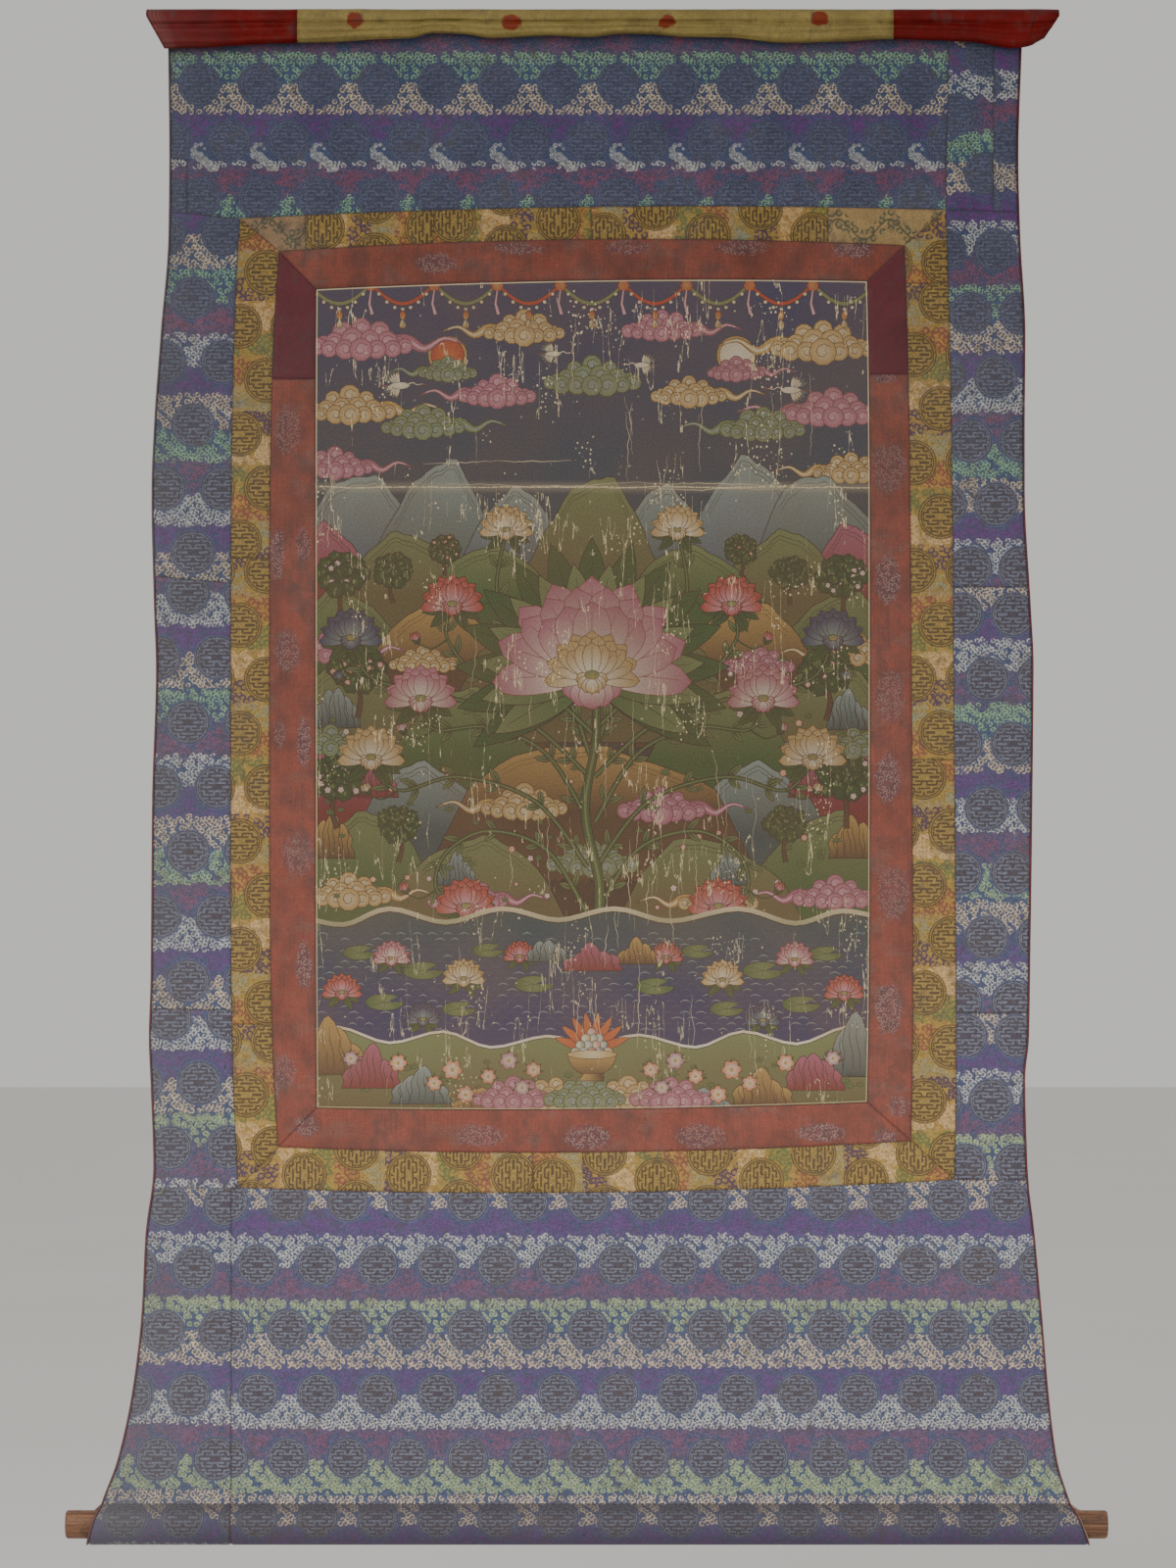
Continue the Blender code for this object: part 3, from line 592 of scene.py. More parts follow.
def side_and_bottom_brocade_cuts():
    slot = "blue_brocade"
    left = (mount_left, left_edge(YELLOW))
    first_left, second_left = [side_seam_left(*ends) for ends in BROCADE_LEFT_SEAMS]
    corner = YELLOW.left_bottom
    left_at = corner.across * MM
    right = (right_edge(YELLOW), mount_right)
    first_right, second_right = map(fixed, BROCADE_RIGHT_SEAMS)
    return [
        cut("brocade_left_upper", slot, *left, upper_seam, first_left, left_at),
        cut("brocade_left_middle", slot, *left, first_left, second_left, left_at),
        cut("brocade_left_lower", slot, mount_left, left_lower_right, second_left, fixed(CLOTH_END), left_at,
            [corner.run * MM, corner.run * MM + STEP_WIDTH]),
        cut("brocade_right_upper", slot, *right, upper_seam, first_right, OUTER_LENGTH_SEAM),
        cut("brocade_right_middle", slot, *right, first_right, second_right, OUTER_LENGTH_SEAM),
        cut("brocade_right_lower", slot, *right, second_right, lower_seam, OUTER_LENGTH_SEAM),
        cut("brocade_bottom_panel", slot, fixed(BOTTOM_SEAM_ACROSS), mount_right, lower_seam,
            fixed(CLOTH_END)),
    ]


def painting_cut():
    return cut(
        "painting_canvas", "painted_canvas", left_edge(PAINTING), right_edge(PAINTING),
        top_edge(PAINTING), bottom_edge(PAINTING))


# Fine cloth.

EDGE_LINES = [0.0, 0.5 * MM, 1.3 * MM, 2.6 * MM, 4.6 * MM]      # extra lines of points beside a seam
FINE_SPACING = 6.5 * MM
SEAM_DIP = 0.8 * MM             # how far a turned-in edge falls away towards its seam
SEAM_ROUNDING = 2.4 * MM
PUCKER = 0.16 * MM
PUCKER_LENGTH = 7.0 * MM
PUCKER_REACH = 5.0 * MM
PUCKER_DRIFT = 5.0              # in radians, over this length
DRIFT_LENGTH = 1.0 / 90.0
FITTING_ROUNDS = 6              # times that a place is fitted between its piece's edges
SHARP_ANGLE = math.radians(60.0)
FAR_FROM_SEAMS = 50.0           # in millimetres, for pieces without seams
Slack = namedtuple("Slack", "height length")
SLACKS = [Slack(0.35 * MM, 62.0 * MM), Slack(0.12 * MM, 19.0 * MM)]    # the cloth's small unevenness


def slack_depth(across, run):
    """The small unevenness of old cloth, the same for pieces that meet."""
    return sum(
        slack.height * noise.noise(Vector((across / slack.length, run / slack.length, slack.height / MM)))
        for slack in SLACKS)


def cloth_point(across, run):
    """Hang one place of the fine cloth."""
    point = hung(across, run)
    if run < STITCH_RUN:
        point.y += slack_depth(across, run) * (1.0 - smooth_step(FLAT_AT_STITCH, STITCH_RUN, run))
    return point


def cloth_normal(across, run):
    """The direction out of the painted face at one place."""
    step = 1.0 * MM
    sideways = cloth_point(across + step, run) - cloth_point(across - step, run)
    downwards = cloth_point(across, run + step) - cloth_point(across, run - step)
    return downwards.cross(sideways).normalized()


def seam_relief(edge, along):
    """How far the face stands off beside a seam: it rolls in, and the stitches draw it up."""
    dip = -SEAM_DIP * (1.0 - smooth_step(0.0, SEAM_ROUNDING, edge))
    drift = PUCKER_DRIFT * noise.noise(Vector((along / DRIFT_LENGTH, 0.0, 0.0)))
    pucker = PUCKER * math.sin(2.0 * math.pi * along / PUCKER_LENGTH + drift)
    return dip + pucker * math.exp(-edge / PUCKER_REACH) * smooth_step(0.0, SEAM_ROUNDING, edge)


def edge_lines(extent):
    """Lines of points across a piece, as a share of its width and an offset: fine beside both edges."""
    beside = [line for line in EDGE_LINES if line < extent / 3.0]
    inner = evenly(beside[-1], extent - beside[-1], FINE_SPACING)[1:-1]
    return (
        [(0.0, line) for line in beside]
        + [(line / extent, 0.0) for line in inner]
        + [(1.0, -line) for line in reversed(beside)])


def fine_rows(first, last, own_rows):
    """A piece's rows: fine beside its top and bottom, on its own steps and on the hem's bends."""
    beside = [line for line in EDGE_LINES if line < (last - first) / 3.0]
    kept = [first + line for line in beside] + [last - line for line in beside] + list(own_rows)
    kept = sorted(kept + [run for run in HEM_RUNS if first + beside[-1] < run < last - beside[-1]])
    rows = [kept[0]]
    for run in kept[1:]:
        rows += evenly(rows[-1], run, FINE_SPACING)[1:]
    return rows


def lay_out(piece):
    """Place a piece's grid flat, as rows of (across, run)."""
    first, last = piece.top(piece.at), piece.bottom(piece.at)
    middle = (first + last) / 2.0
    lines = edge_lines(piece.right(middle) - piece.left(middle))

    def place(row, share, offset):
        across = piece.at
        for _ in range(FITTING_ROUNDS):
            run = fitted_run(row, first, last, piece.top(across) - first, piece.bottom(across) - last)
            across = piece.left(run) * (1.0 - share) + piece.right(run) * share + offset
        return across, run
    return [[place(row, *line) for line in lines] for row in fine_rows(first, last, piece.own_rows)]


def nearest_edge(piece, across, run):
    """How far a flat place lies from its piece's nearest edge, and how far along that edge."""
    sideways = min(across - piece.left(run), piece.right(run) - across)
    lengthways = min(run - piece.top(across), piece.bottom(across) - run)
    return (sideways, run) if sideways < lengthways else (lengthways, across)


def grid_faces(rows, columns):
    """Faces of a closed sheet over a grid: its face, its back, and the walls round its rim."""
    count = rows * columns
    faces = []
    for row in range(rows - 1):
        for column in range(columns - 1):
            corner = row * columns + column
            quad = (corner, corner + columns, corner + columns + 1, corner + 1)
            faces.append(quad)
            faces.append(tuple(count + index for index in reversed(quad)))
    last = count - columns
    rim = (
        [*range(columns)] + [row * columns + columns - 1 for row in range(1, rows)]
        + [*range(count - 2, last - 1, -1)] + [row * columns for row in range(rows - 2, 0, -1)])
    faces += [(here, there, count + there, count + here) for here, there in zip(rim, rim[1:] + rim[:1])]
    return faces


def add_attribute(mesh, name, vectors, domain="POINT"):
    layer = mesh.attributes.new(name, "FLOAT_VECTOR", domain)
    layer.data.foreach_set("vector", [value for vector in vectors for value in vector])


def cloth_mesh(piece, thickness):
    """Build a piece as a closed sheet, and give the size and area of its flat cut."""
    grid = lay_out(piece)
    front, back, cloth, weave, size, rim = [], [], [], [], [], []
    for across, run in (place for row in grid for place in row):
        repeat = repeat_at(piece.node, run)
        edge, along_edge = nearest_edge(piece, across, run)
        relief = seam_relief(max(edge, 0.0), along_edge)
        point, normal = cloth_point(across, run), cloth_normal(across, run)
        front.append(point + normal * (thickness / 2.0 + relief))
        back.append(point - normal * (thickness / 2.0 + relief * 0.5))
        pitches, rows, band = weave_place(repeat, across / MM, run / MM)
        cloth.append((across / MM, run / MM, 0.0))
        weave.append((pitches, rows, repeat.direction * repeat.radius))
        size.append((repeat.pitch, repeat.row, band))
        rim.append((max(edge, 0.0) / MM, along_edge / MM, 0.0))
    mesh = bpy.data.meshes.new(piece.node)
    mesh.from_pydata([tuple(point) for point in front + back], [], grid_faces(len(grid), len(grid[0])))
    add_attribute(mesh, "cloth", cloth + [(across, run, 1.0) for across, run, _ in cloth])
    for name, values in [("weave", weave), ("size", size), ("rim", rim)]:
        add_attribute(mesh, name, values + values)
    return mesh, flat_size(grid)


def flat_size(grid):
    """A flat grid's width, length and area."""
    area = 0.0
    for upper, lower in zip(grid, grid[1:]):
        for (one, two), (four, three) in zip(zip(upper, upper[1:]), zip(lower, lower[1:])):
            across = (three[0] - one[0], two[0] - four[0])
            down = (three[1] - one[1], two[1] - four[1])
            area += abs(across[0] * down[1] - across[1] * down[0]) / 2.0
    across = [place[0] for row in grid for place in row]
    run = [place[1] for row in grid for place in row]
    return max(across) - min(across), max(run) - min(run), area


def turn_outwards(mesh):
    """Make every face of a closed mesh look outwards."""
    shape = bmesh.new()
    shape.from_mesh(mesh)
    bmesh.ops.recalc_face_normals(shape, faces=shape.faces)
    shape.to_mesh(mesh)
    shape.free()


def add_piece(name, mesh, material, slot, *nodes):
    """Put a finished mesh in the scene as a piece that moves with the root and stands for its nodes."""
    turn_outwards(mesh)
    piece = bpy.data.objects.new(name, mesh)
    bpy.context.scene.collection.objects.link(piece)
    mesh.materials.append(material)
    mesh.shade_smooth()
    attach(piece, "root")
    if nodes:
        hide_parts(*nodes)
    return piece


def add_cloth(piece, material, thickness=CLOTH_THICKNESS):
    mesh, (width, length, area) = cloth_mesh(piece, thickness)
    made = add_piece(piece.node + "_cloth", mesh, material, piece.slot, piece.node)
    mesh.set_sharp_from_angle(angle=SHARP_ANGLE)
    return made


# Veil.

VEIL_THICKNESS = 0.7 * MM
VEIL_COLUMN = 7.0 * MM
VEIL_STEPS = 5                  # points of the fine section for each point of its path
VEIL_CREASE = 0.7               # in millimetres, as are the ends' slants
LEFT_END_SLANT = 16.0
RIGHT_END_SLANT = 13.0
END_REACH = 26.0
# The rolled-up veil's path in millimetres: its turned-up back flap, over the top edge, down the front, round
# the bottom, and one turn of the roll inside. Hang is its share of the local hang, and fold how far its folds
# show.
Round = namedtuple("Round", "depth rise hang fold")
VEIL_PATH = [
    Round(2.3, 0.0, 0.10, 0.0),
    Round(2.2, 0.0, 0.42, 0.0),
    Round(3.4, 0.0, 0.52, 0.0),
    Round(5.6, 0.0, 0.44, 0.2),
    Round(7.4, 0.0, 0.20, 0.4),
    Round(7.9, 2.0, 0.0, 0.6),
    Round(5.4, 5.4, 0.0, 0.5),
    Round(0.6, 6.5, 0.0, 0.3),
    Round(-5.5, 6.1, 0.0, 0.3),
    Round(-10.6, 3.4, 0.0, 0.7),
    Round(-13.0, 0.0, 0.12, 1.0),
    Round(-12.3, 0.0, 0.30, -0.9),
    Round(-14.8, 0.0, 0.48, 1.0),
    Round(-13.6, 0.0, 0.68, 0.5),
    Round(-14.1, 0.0, 0.84, -0.6),
    Round(-10.4, 0.0, 0.96, 0.3),
    Round(-5.4, 0.0, 0.97, 0.0),
    Round(-2.4, 0.0, 0.86, 0.0),
    Round(-2.2, 0.0, 0.40, 0.0),
    Round(-4.4, 0.0, 0.12, 0.0),
    Round(-9.0, 0.0, 0.16, 0.2),
    Round(-11.0, 0.0, 0.50, 0.3),
    Round(-9.4, 0.0, 0.80, 0.0),
    Round(-5.4, 0.0, 0.80, 0.0),
    Round(-4.8, 0.0, 0.42, 0.0),
    Round(-7.4, 0.0, 0.34, 0.0),
]


def smooth_path(points, steps):
    """A smooth curve through points, with so many steps between each two."""
    path = []
    last = len(points) - 1
    for index in range(last):
        before, start, end, after = (points[min(max(index + shift, 0), last)] for shift in (-1, 0, 1, 2))
        for step in range(steps):
            share = step / steps
            path.append(0.5 * (
                2.0 * start + (end - before) * share
                + (2.0 * before - 5.0 * start + 4.0 * end - after) * share ** 2
                + (3.0 * start - before - 3.0 * end + after) * share ** 3))
    return path + [points[-1]]


def veil_section(across, low):
    """The veil's fine section at one place across: its points and directions, with its uneven creases."""
    wide = across / MM
    waves = sum(math.sin(2.0 * math.pi * count * wide + phase) for count, phase in VEIL_FOLD_WAVES)
    fold = VEIL_FOLD_DEPTH * (0.5 + 0.25 * waves)
    path = smooth_path([
        Vector((point.depth - point.fold * fold, point.rise - point.hang * low))
        for point in VEIL_PATH], VEIL_STEPS)
    sides = [(after - before).normalized() for before, after in zip([path[0], *path], [*path[1:], path[-1]])]
    section = []
    for index, (place, along) in enumerate(zip(path, sides)):
        long_crease = noise.noise(Vector((wide / 85.0, index * 0.42, 3.0)))
        short_crease = noise.noise(Vector((wide / 24.0, index * 0.9, 9.0)))
        section.append((place + out_of(along) * (long_crease + 0.5 * short_crease) * VEIL_CREASE, along))
    return section


def out_of(along):
    """The direction square to one in the veil's section, on its outer side."""
    return Vector((along.y, -along.x))


def veil_mesh(name, start, end):
    """One length of the veil as a thin closed sheet, with the length of its last section."""
    hang = SmoothLine([(hang.across * MM, hang.low) for hang in VEIL_HANGS])
    stations = evenly(start, end, VEIL_COLUMN)
    sheets = {1.0: [], -1.0: []}
    cloth = []
    for across in stations:
        section = veil_section(across, hang(across))
        left = math.exp(-((across - VEIL_LEFT) / MM / END_REACH) ** 2) * LEFT_END_SLANT
        right = math.exp(-((across - VEIL_RIGHT) / MM / END_REACH) ** 2) * RIGHT_END_SLANT
        runs = running_lengths([place for place, _ in section], 0.0)
        for run, (place, along) in zip(runs, section):
            shift = (left - right) * min(max(-place.y / hang(across), 0.0), 1.0)
            for side, points in sheets.items():
                off = out_of(along) * side * VEIL_THICKNESS / 2.0 / MM
                points.append(((across + shift * MM), (place.x + off.x) * MM, (place.y + off.y) * MM))
            cloth.append((across / MM, run, 0.0))
    mesh = bpy.data.meshes.new(name)
    mesh.from_pydata(sheets[1.0] + sheets[-1.0], [], grid_faces(len(stations), len(cloth) // len(stations)))
    add_attribute(mesh, "cloth", cloth + cloth)
    add_attribute(mesh, "rim", [(FAR_FROM_SEAMS, 0.0, 0.0)] * len(cloth) * 2)
    return mesh, runs[-1] * MM


def add_veil(materials):
    lengths = [
        ("veil_left", "veil_red", VEIL_LEFT, VEIL_LEFT_SEAM),
        ("veil_middle", "veil_yellow", VEIL_LEFT_SEAM, VEIL_RIGHT_SEAM),
        ("veil_right", "veil_red", VEIL_RIGHT_SEAM, VEIL_RIGHT)]
    for node, slot, start, end in lengths:
        mesh, length = veil_mesh(node, start, end)
        made = add_piece(node + "_silk", mesh, materials[slot], slot, node)


# Bindings and roller.

BINDING_SPLIT = 640.0 * MM
BINDING_HALF_DEPTH = 1.45 * MM
BINDING_SIDES = 10
BINDING_SQUARENESS = 0.7
ROLLER_SEGMENTS = 72
ROLLER_STEP = 9.0 * MM
ROLLER_UNEVENNESS = 0.2 * MM


def rounded(value):
    """Push a round section towards a square one with round corners."""
    return math.copysign(abs(value) ** BINDING_SQUARENESS, value)


def tube_faces(rings, sides, capped):
    """Faces of a tube over rings of points, with a cap at both ends where it is asked for."""
    faces = [
        (ring * sides + side, ring * sides + (side + 1) % sides,
         (ring + 1) * sides + (side + 1) % sides, (ring + 1) * sides + side)
        for ring in range(rings - 1) for side in range(sides)]
    if capped:
        faces.append(tuple(reversed(range(sides))))
        faces.append(tuple((rings - 1) * sides + side for side in range(sides)))
    return faces


def binding_mesh(name, edge_line, outward, first, last):
    """A narrow band rolled over the mount's edge, following it from the first run to the last."""
    points, cloth, rim = [], [], []
    runs = fine_rows(first, last, ())
    for run in runs:
        across = edge_line(run) - outward * BINDING_WIDTH / 2.0
        middle, normal = cloth_point(across, run), cloth_normal(across, run)
        size = 1.0 + 0.14 * noise.noise(Vector((run * 130.0, outward, 0.0)))
        for side in range(BINDING_SIDES):
            angle = 2.0 * math.pi * side / BINDING_SIDES
            out = Vector((rounded(math.cos(angle)) * outward * BINDING_WIDTH / 2.0, 0.0, 0.0))
            points.append(tuple(middle + (out + normal * rounded(math.sin(angle)) * BINDING_HALF_DEPTH) * size))
            cloth.append((across / MM, run / MM, 0.0))
            rim.append((FAR_FROM_SEAMS, math.cos(angle), outward))
    faces = tube_faces(len(runs), BINDING_SIDES, True)
    mesh = bpy.data.meshes.new(name)
    mesh.from_pydata(points, [], faces if outward < 0.0 else [tuple(reversed(face)) for face in faces])
    add_attribute(mesh, "cloth", cloth)
    add_attribute(mesh, "rim", rim)
    return mesh


def add_bindings(materials):
    for side, edge_line, outward in [("left", outline_left, -1.0), ("right", outline_right, 1.0)]:
        for part, first, last in [("upper", 0.0, BINDING_SPLIT), ("lower", BINDING_SPLIT, CLOTH_END)]:
            mesh = binding_mesh(f"binding_{side}_{part}", edge_line, outward, first, last)
            node = f"edge_binding_{side}"
            add_piece(f"{node}_{part}", mesh, materials["binding_silk"], "binding_silk", node)


def roller_profile():
    """The roller's rings from one end's middle to the other's, as radius and place across."""
    eased = [
        (ROLLER_RADIUS - ROLLER_ROUNDING * (1.0 - math.sin(angle)), ROLLER_ROUNDING * (1.0 - math.cos(angle)))
        for angle in evenly(0.0, math.pi / 2.0, math.pi / 12.0)]
    start = [(ROLLER_RADIUS * share, 0.0) for share in (0.02, 0.3, 0.55)] + eased
    middle = evenly(ROLLER_LEFT + ROLLER_ROUNDING, ROLLER_RIGHT - ROLLER_ROUNDING, ROLLER_STEP)[1:-1]
    return (
        [(radius, ROLLER_LEFT + inset) for radius, inset in start]
        + [(ROLLER_RADIUS, place) for place in middle]
        + [(radius, ROLLER_RIGHT - inset) for radius, inset in reversed(start)])


def add_roller(materials):
    """A slightly uneven turned dowel with eased ends."""
    points, cloth, rim = [], [], []
    profile = roller_profile()
    for radius, across in profile:
        for segment in range(ROLLER_SEGMENTS):
            angle = 2.0 * math.pi * segment / ROLLER_SEGMENTS
            side = Vector((0.0, math.cos(angle), math.sin(angle)))
            uneven = noise.noise(Vector((across * 14.0, side.y, side.z))) * ROLLER_UNEVENNESS
            reach = radius * (1.0 + uneven / ROLLER_RADIUS)
            points.append((across, reach * side.y, -ROLLER_RUN + reach * side.z))
            cloth.append((across / MM, reach * side.y / MM, reach * side.z / MM))
            rim.append((FAR_FROM_SEAMS, 0.0, 0.0))
    mesh = bpy.data.meshes.new("roller_turned")
    mesh.from_pydata(points, [], tube_faces(len(profile), ROLLER_SEGMENTS, True))
    add_attribute(mesh, "cloth", cloth)
    add_attribute(mesh, "rim", rim)
    add_piece("roller_turned", mesh, materials["roller_wood"], "roller_wood", "roller")


# The picture, a design of its own. Places are complex numbers, in millimetres across and down from the
# middle of the canvas's top, and angles are in degrees, 0 to the viewer's right and 90 down.

PIGMENTS = {
    "ink": (40, 34, 38),
    "navy": (38, 52, 88),
    "slate": (66, 80, 94),
    "teal": (52, 78, 80),
    "foam": (132, 146, 138),
    "green": (56, 90, 54),
    "leaf": (40, 68, 46),
    "moss": (110, 124, 82),
    "olive": (92, 88, 60),
    "brown": (82, 64, 50),
    "umber": (60, 50, 44),
    "maroon": (116, 42, 50),
    "red": (166, 62, 46),
    "orange": (192, 108, 62),
    "rose": (160, 92, 110),
    "pink": (200, 152, 158),
    "plum": (98, 58, 76),
    "cream": (208, 190, 154),
    "white": (220, 210, 188),
    "gold": (178, 144, 84),
}
Area = namedtuple("Area", "outline near far shading")
# A motif's colours: its outline, and from its light places to its dark ones.
Tints = namedtuple("Tints", "line light dark")
PINK_CLOUD = Tints("plum", "pink", "rose")
CREAM_CLOUD = Tints("brown", "cream", "gold")
MOSS_CLOUD = Tints("leaf", "foam", "moss")
CLOUDS = [PINK_CLOUD, CREAM_CLOUD, MOSS_CLOUD]
PINK_LOTUS = Tints("maroon", "white", "rose")
RED_LOTUS = Tints("ink", "pink", "red")
CREAM_LOTUS = Tints("brown", "white", "gold")
BLUE_LOTUS = Tints("ink", "foam", "navy")


def aim(angle):
    return cmath.rect(1.0, math.radians(angle))


def shares(steps):
    return [index / steps for index in range(steps + 1)]


def read(values, share):
    """Read evenly spaced values at a share of the way along them."""
    place = min(max(share, 0.0), 1.0) * (len(values) - 1)
    first = min(int(place), len(values) - 2)
    return values[first] + (values[first + 1] - values[first]) * (place - first)


def ring(middle, reach, steps=14, flatness=1.0):
    """A circle's outline, or a flattened one's."""
    angles = [2.0 * math.pi * share for share in shares(steps)[:-1]]
    return [
        middle + complex(reach * math.cos(angle), reach * flatness * math.sin(angle))
        for angle in angles]


def rosette(middle, reach, petals, depth=0.3, turn=0.0, steps=4):
    """A flower's outline with round petals."""
    outline = []
    for share in shares(petals * steps)[:-1]:
        lobe = 1.0 - depth + depth * abs(math.cos(math.pi * petals * share))
        outline.append(middle + aim(turn + 360.0 * share) * reach * lobe)
    return outline


def petal(base, angle, length, width, blunt=0.6, bend=0.0):
    """A petal's or leaf's outline, from its base round its tip, bent to one side."""
    steps = min(max(round(length / 5.0) + 2, 4), 9)
    widest = 0.75 / (0.75 + blunt)
    peak = widest ** 0.75 * (1.0 - widest) ** blunt

    def place(share, side):
        half = width / 2.0 * share ** 0.75 * (1.0 - share) ** blunt / peak * side
        return base + aim(angle) * complex(share * length, half + bend * length * share ** 2)
    inner = shares(steps)[1:-1]
    return (
        [base] + [place(share, 1.0) for share in inner] + [place(1.0, 0.0)]
        + [place(share, -1.0) for share in reversed(inner)])


def widened(outline, width):
    """A closed outline moved outwards all round."""
    turning = sum((one.conjugate() * two).imag for one, two in zip(outline, outline[1:] + outline[:1]))
    side = math.copysign(width, turning)
    grown = []
    for before, here, after in zip(outline[-1:] + outline[:-1], outline, outline[1:] + outline[:1]):
        one = (here - before) / max(abs(here - before), 1e-6)
        two = (after - here) / max(abs(after - here), 1e-6)
        middle = one + two if abs(one + two) > 0.3 else one
        middle /= abs(middle)
        grown.append(here - 1j * middle * side / max((middle.conjugate() * one).real, 0.5))
    return grown


def curl(middle, outer, inner, start, turns, steps=8):
    """A spiral path from its outer radius in to its inner one."""
    return [
        middle + aim(start + 360.0 * turns * share) * (outer + (inner - outer) * share)
        for share in shares(steps)]


def along(start, end):
    """Shading that runs straight from start to end."""
    return lambda place: ((place - start) * (end - start).conjugate()).real / abs(end - start) ** 2


def around(middle, reach):
    """Shading that runs out from a middle."""
    return lambda place: abs(place - middle) / reach


class Picture:
    """Areas of paint, each over the ones before it."""

    def __init__(self, seed):
        self.areas = []
        self.chance = random.Random(seed)

    def any(self, low, high):
        return self.chance.uniform(low, high)

    def area(self, outline, near, far=None, shading=None):
        self.areas.append(Area(outline, near, far or near, shading))

    def outlined(self, outline, line, width, near, far=None, shading=None):
        self.area(widened(outline, width), line)
        self.area(outline, near, far, shading)

    def stroke(self, path, widths, colour):
        """A brush line along a path, as wide as its widths say from its start to its end."""
        sides = []
        for index, (before, after) in enumerate(zip([path[0], *path], [*path[1:], path[-1]])):
            way = (after - before) / max(abs(after - before), 1e-6)
            sides.append(1j * way * read(widths, index / (len(path) - 1)) / 2.0)
        outline = [place + side for place, side in zip(path, sides)]
        outline += [place - side for place, side in zip(reversed(path), reversed(sides))]
        self.area(outline, colour)

    def petal(self, base, angle, length, width, tints, blunt=0.6, bend=0.0, line=0.55, vein=False):
        shape = petal(base, angle, length, width, blunt, bend)
        tip = shape[len(shape) // 2]
        self.outlined(shape, tints.line, line, tints.light, tints.dark, along(base, tip))
        if vein:
            middle = [base + aim(angle) * complex(share * length, bend * length * share ** 2)
                      for share in (0.15, 0.4, 0.65, 0.88)]
            self.stroke(middle, [0.8, 0.4], tints.line)


# Motifs.

LEAF_TINTS = Tints("ink", "leaf", "green")
PALE_LEAF = Tints("ink", "green", "moss")
# A cloud's tail, and its rows of lobes as count, reach, rise and size, all in shares of its width.
CLOUD_TAIL = [(0.2, 0.02), (0.5, 0.10), (0.72, 0.0), (0.95, 0.12), (1.2, 0.04)]
CLOUD_ROWS = [(5, 0.42, 0.24, 0.105), (6, 0.50, 0.11, 0.11), (5, 0.36, -0.01, 0.12)]
SMALLEST_CURLED_LOBE = 2.6
# A lotus's fans of petals, from the back: their count, opening, length, width and bend.
LOTUS_FANS = [(9, 176.0, 1.0, 0.36, 0.10), (8, 138.0, 0.90, 0.36, 0.05), (5, 84.0, 0.74, 0.38, 0.0)]


def from_sides(count):
    """Evenly spaced shares from -1 to 1, in order from both ends to the middle one, which is painted last."""
    indices = sorted(range(count), key=lambda index: -abs(index - (count - 1) / 2.0))
    return [index / (count - 1) * 2.0 - 1.0 for index in indices]


def add_cloud(picture, place, width, tints, tail=0.0):
    """A bank of scroll clouds with a curl in each lobe, and a tail to the left (-1) or the right (1)."""
    if tail:
        path = smooth_path([place + complex(tail * width * x, -width * y) for x, y in CLOUD_TAIL], 4)
        picture.stroke(path, [width * 0.14 + 1.2, width * 0.12 + 1.2, width * 0.05 + 1.2, 0.8], tints.line)
        picture.stroke(path[:-1], [width * 0.14, width * 0.12, width * 0.05, 0.5], tints.dark)
        picture.stroke(path[2:-2], [width * 0.04, width * 0.02], tints.light)
    for count, reach, rise, size in CLOUD_ROWS:
        for share in from_sides(count):
            lift = rise * (1.0 - 0.75 * share * share)
            spot = place + complex(share * reach, -lift) * width
            radius = width * size * picture.any(0.85, 1.15) * (1.15 - 0.35 * abs(share))
            lobe = ring(spot, radius, 10)
            picture.outlined(lobe, tints.line, 0.6, tints.light, tints.dark, around(spot, radius))
            if radius > SMALLEST_CURLED_LOBE:
                turn, turns = (-150.0, 1.1) if share < 0.0 else (-30.0, -1.1)
                path = curl(spot, radius * 0.68, radius * 0.18, turn, turns)
                picture.stroke(path, [0.6, 0.8, 0.4], tints.line)


def add_lotus(picture, place, size, tints, leaves=True):
    """An open lotus from the side, its petals fanned from the middle of its base."""
    if leaves:
        for angle in (-168.0, -12.0, 160.0, 20.0, 128.0, 52.0):
            picture.petal(place, angle, size * 0.95, size * 0.34, LEAF_TINTS, 0.9, 0.12, vein=size > 20.0)
    for count, opening, length, width, bend in LOTUS_FANS:
        for share in from_sides(count):
            picture.petal(
                place, -90.0 + opening / 2.0 * share, size * length, size * width, tints, 0.5, bend * share,
                vein=size > 40.0)
    for angle in (172.0, 8.0, 146.0, 34.0, 115.0, 65.0, 90.0):
        picture.petal(place, angle, size * 0.34, size * 0.26, tints, 0.5)
    picture.outlined(
        ring(place - 0.06j * size, size * 0.15, 12, 0.6), tints.line, 0.5, "gold", "moss",
        around(place, size * 0.16))


def add_bud(picture, place, angle, size, tints):
    for turn in (-16.0, 16.0, 0.0):
        picture.petal(place, angle + turn, size, size * 0.42, tints, 0.7)
    for turn in (-34.0, 34.0):
        picture.petal(place, angle + turn, size * 0.5, size * 0.24, LEAF_TINTS, 0.8)


def add_flower(picture, place, size, near, far, petals=6):
    turn = picture.any(0.0, 60.0)
    picture.outlined(rosette(place, size, petals, 0.3, turn), "ink", 0.45, near, far, around(place, size))
    picture.area(ring(place, size * 0.24, 7), "gold")


def add_leaf_spray(picture, place, size, turn, tints=LEAF_TINTS):
    """Five pointed leaves spread from one place."""
    outline = [place + aim(turn - 110.0) * size * 0.2]
    for lean in range(-80, 81, 20):
        reach = 1.0 - abs(lean) / 300.0 if lean % 40 == 0 else 0.42
        outline.append(place + aim(turn + lean) * size * reach)
    outline.append(place + aim(turn + 110.0) * size * 0.2)
    picture.outlined(outline, tints.line, 0.4, tints.light, tints.dark, around(place, size))


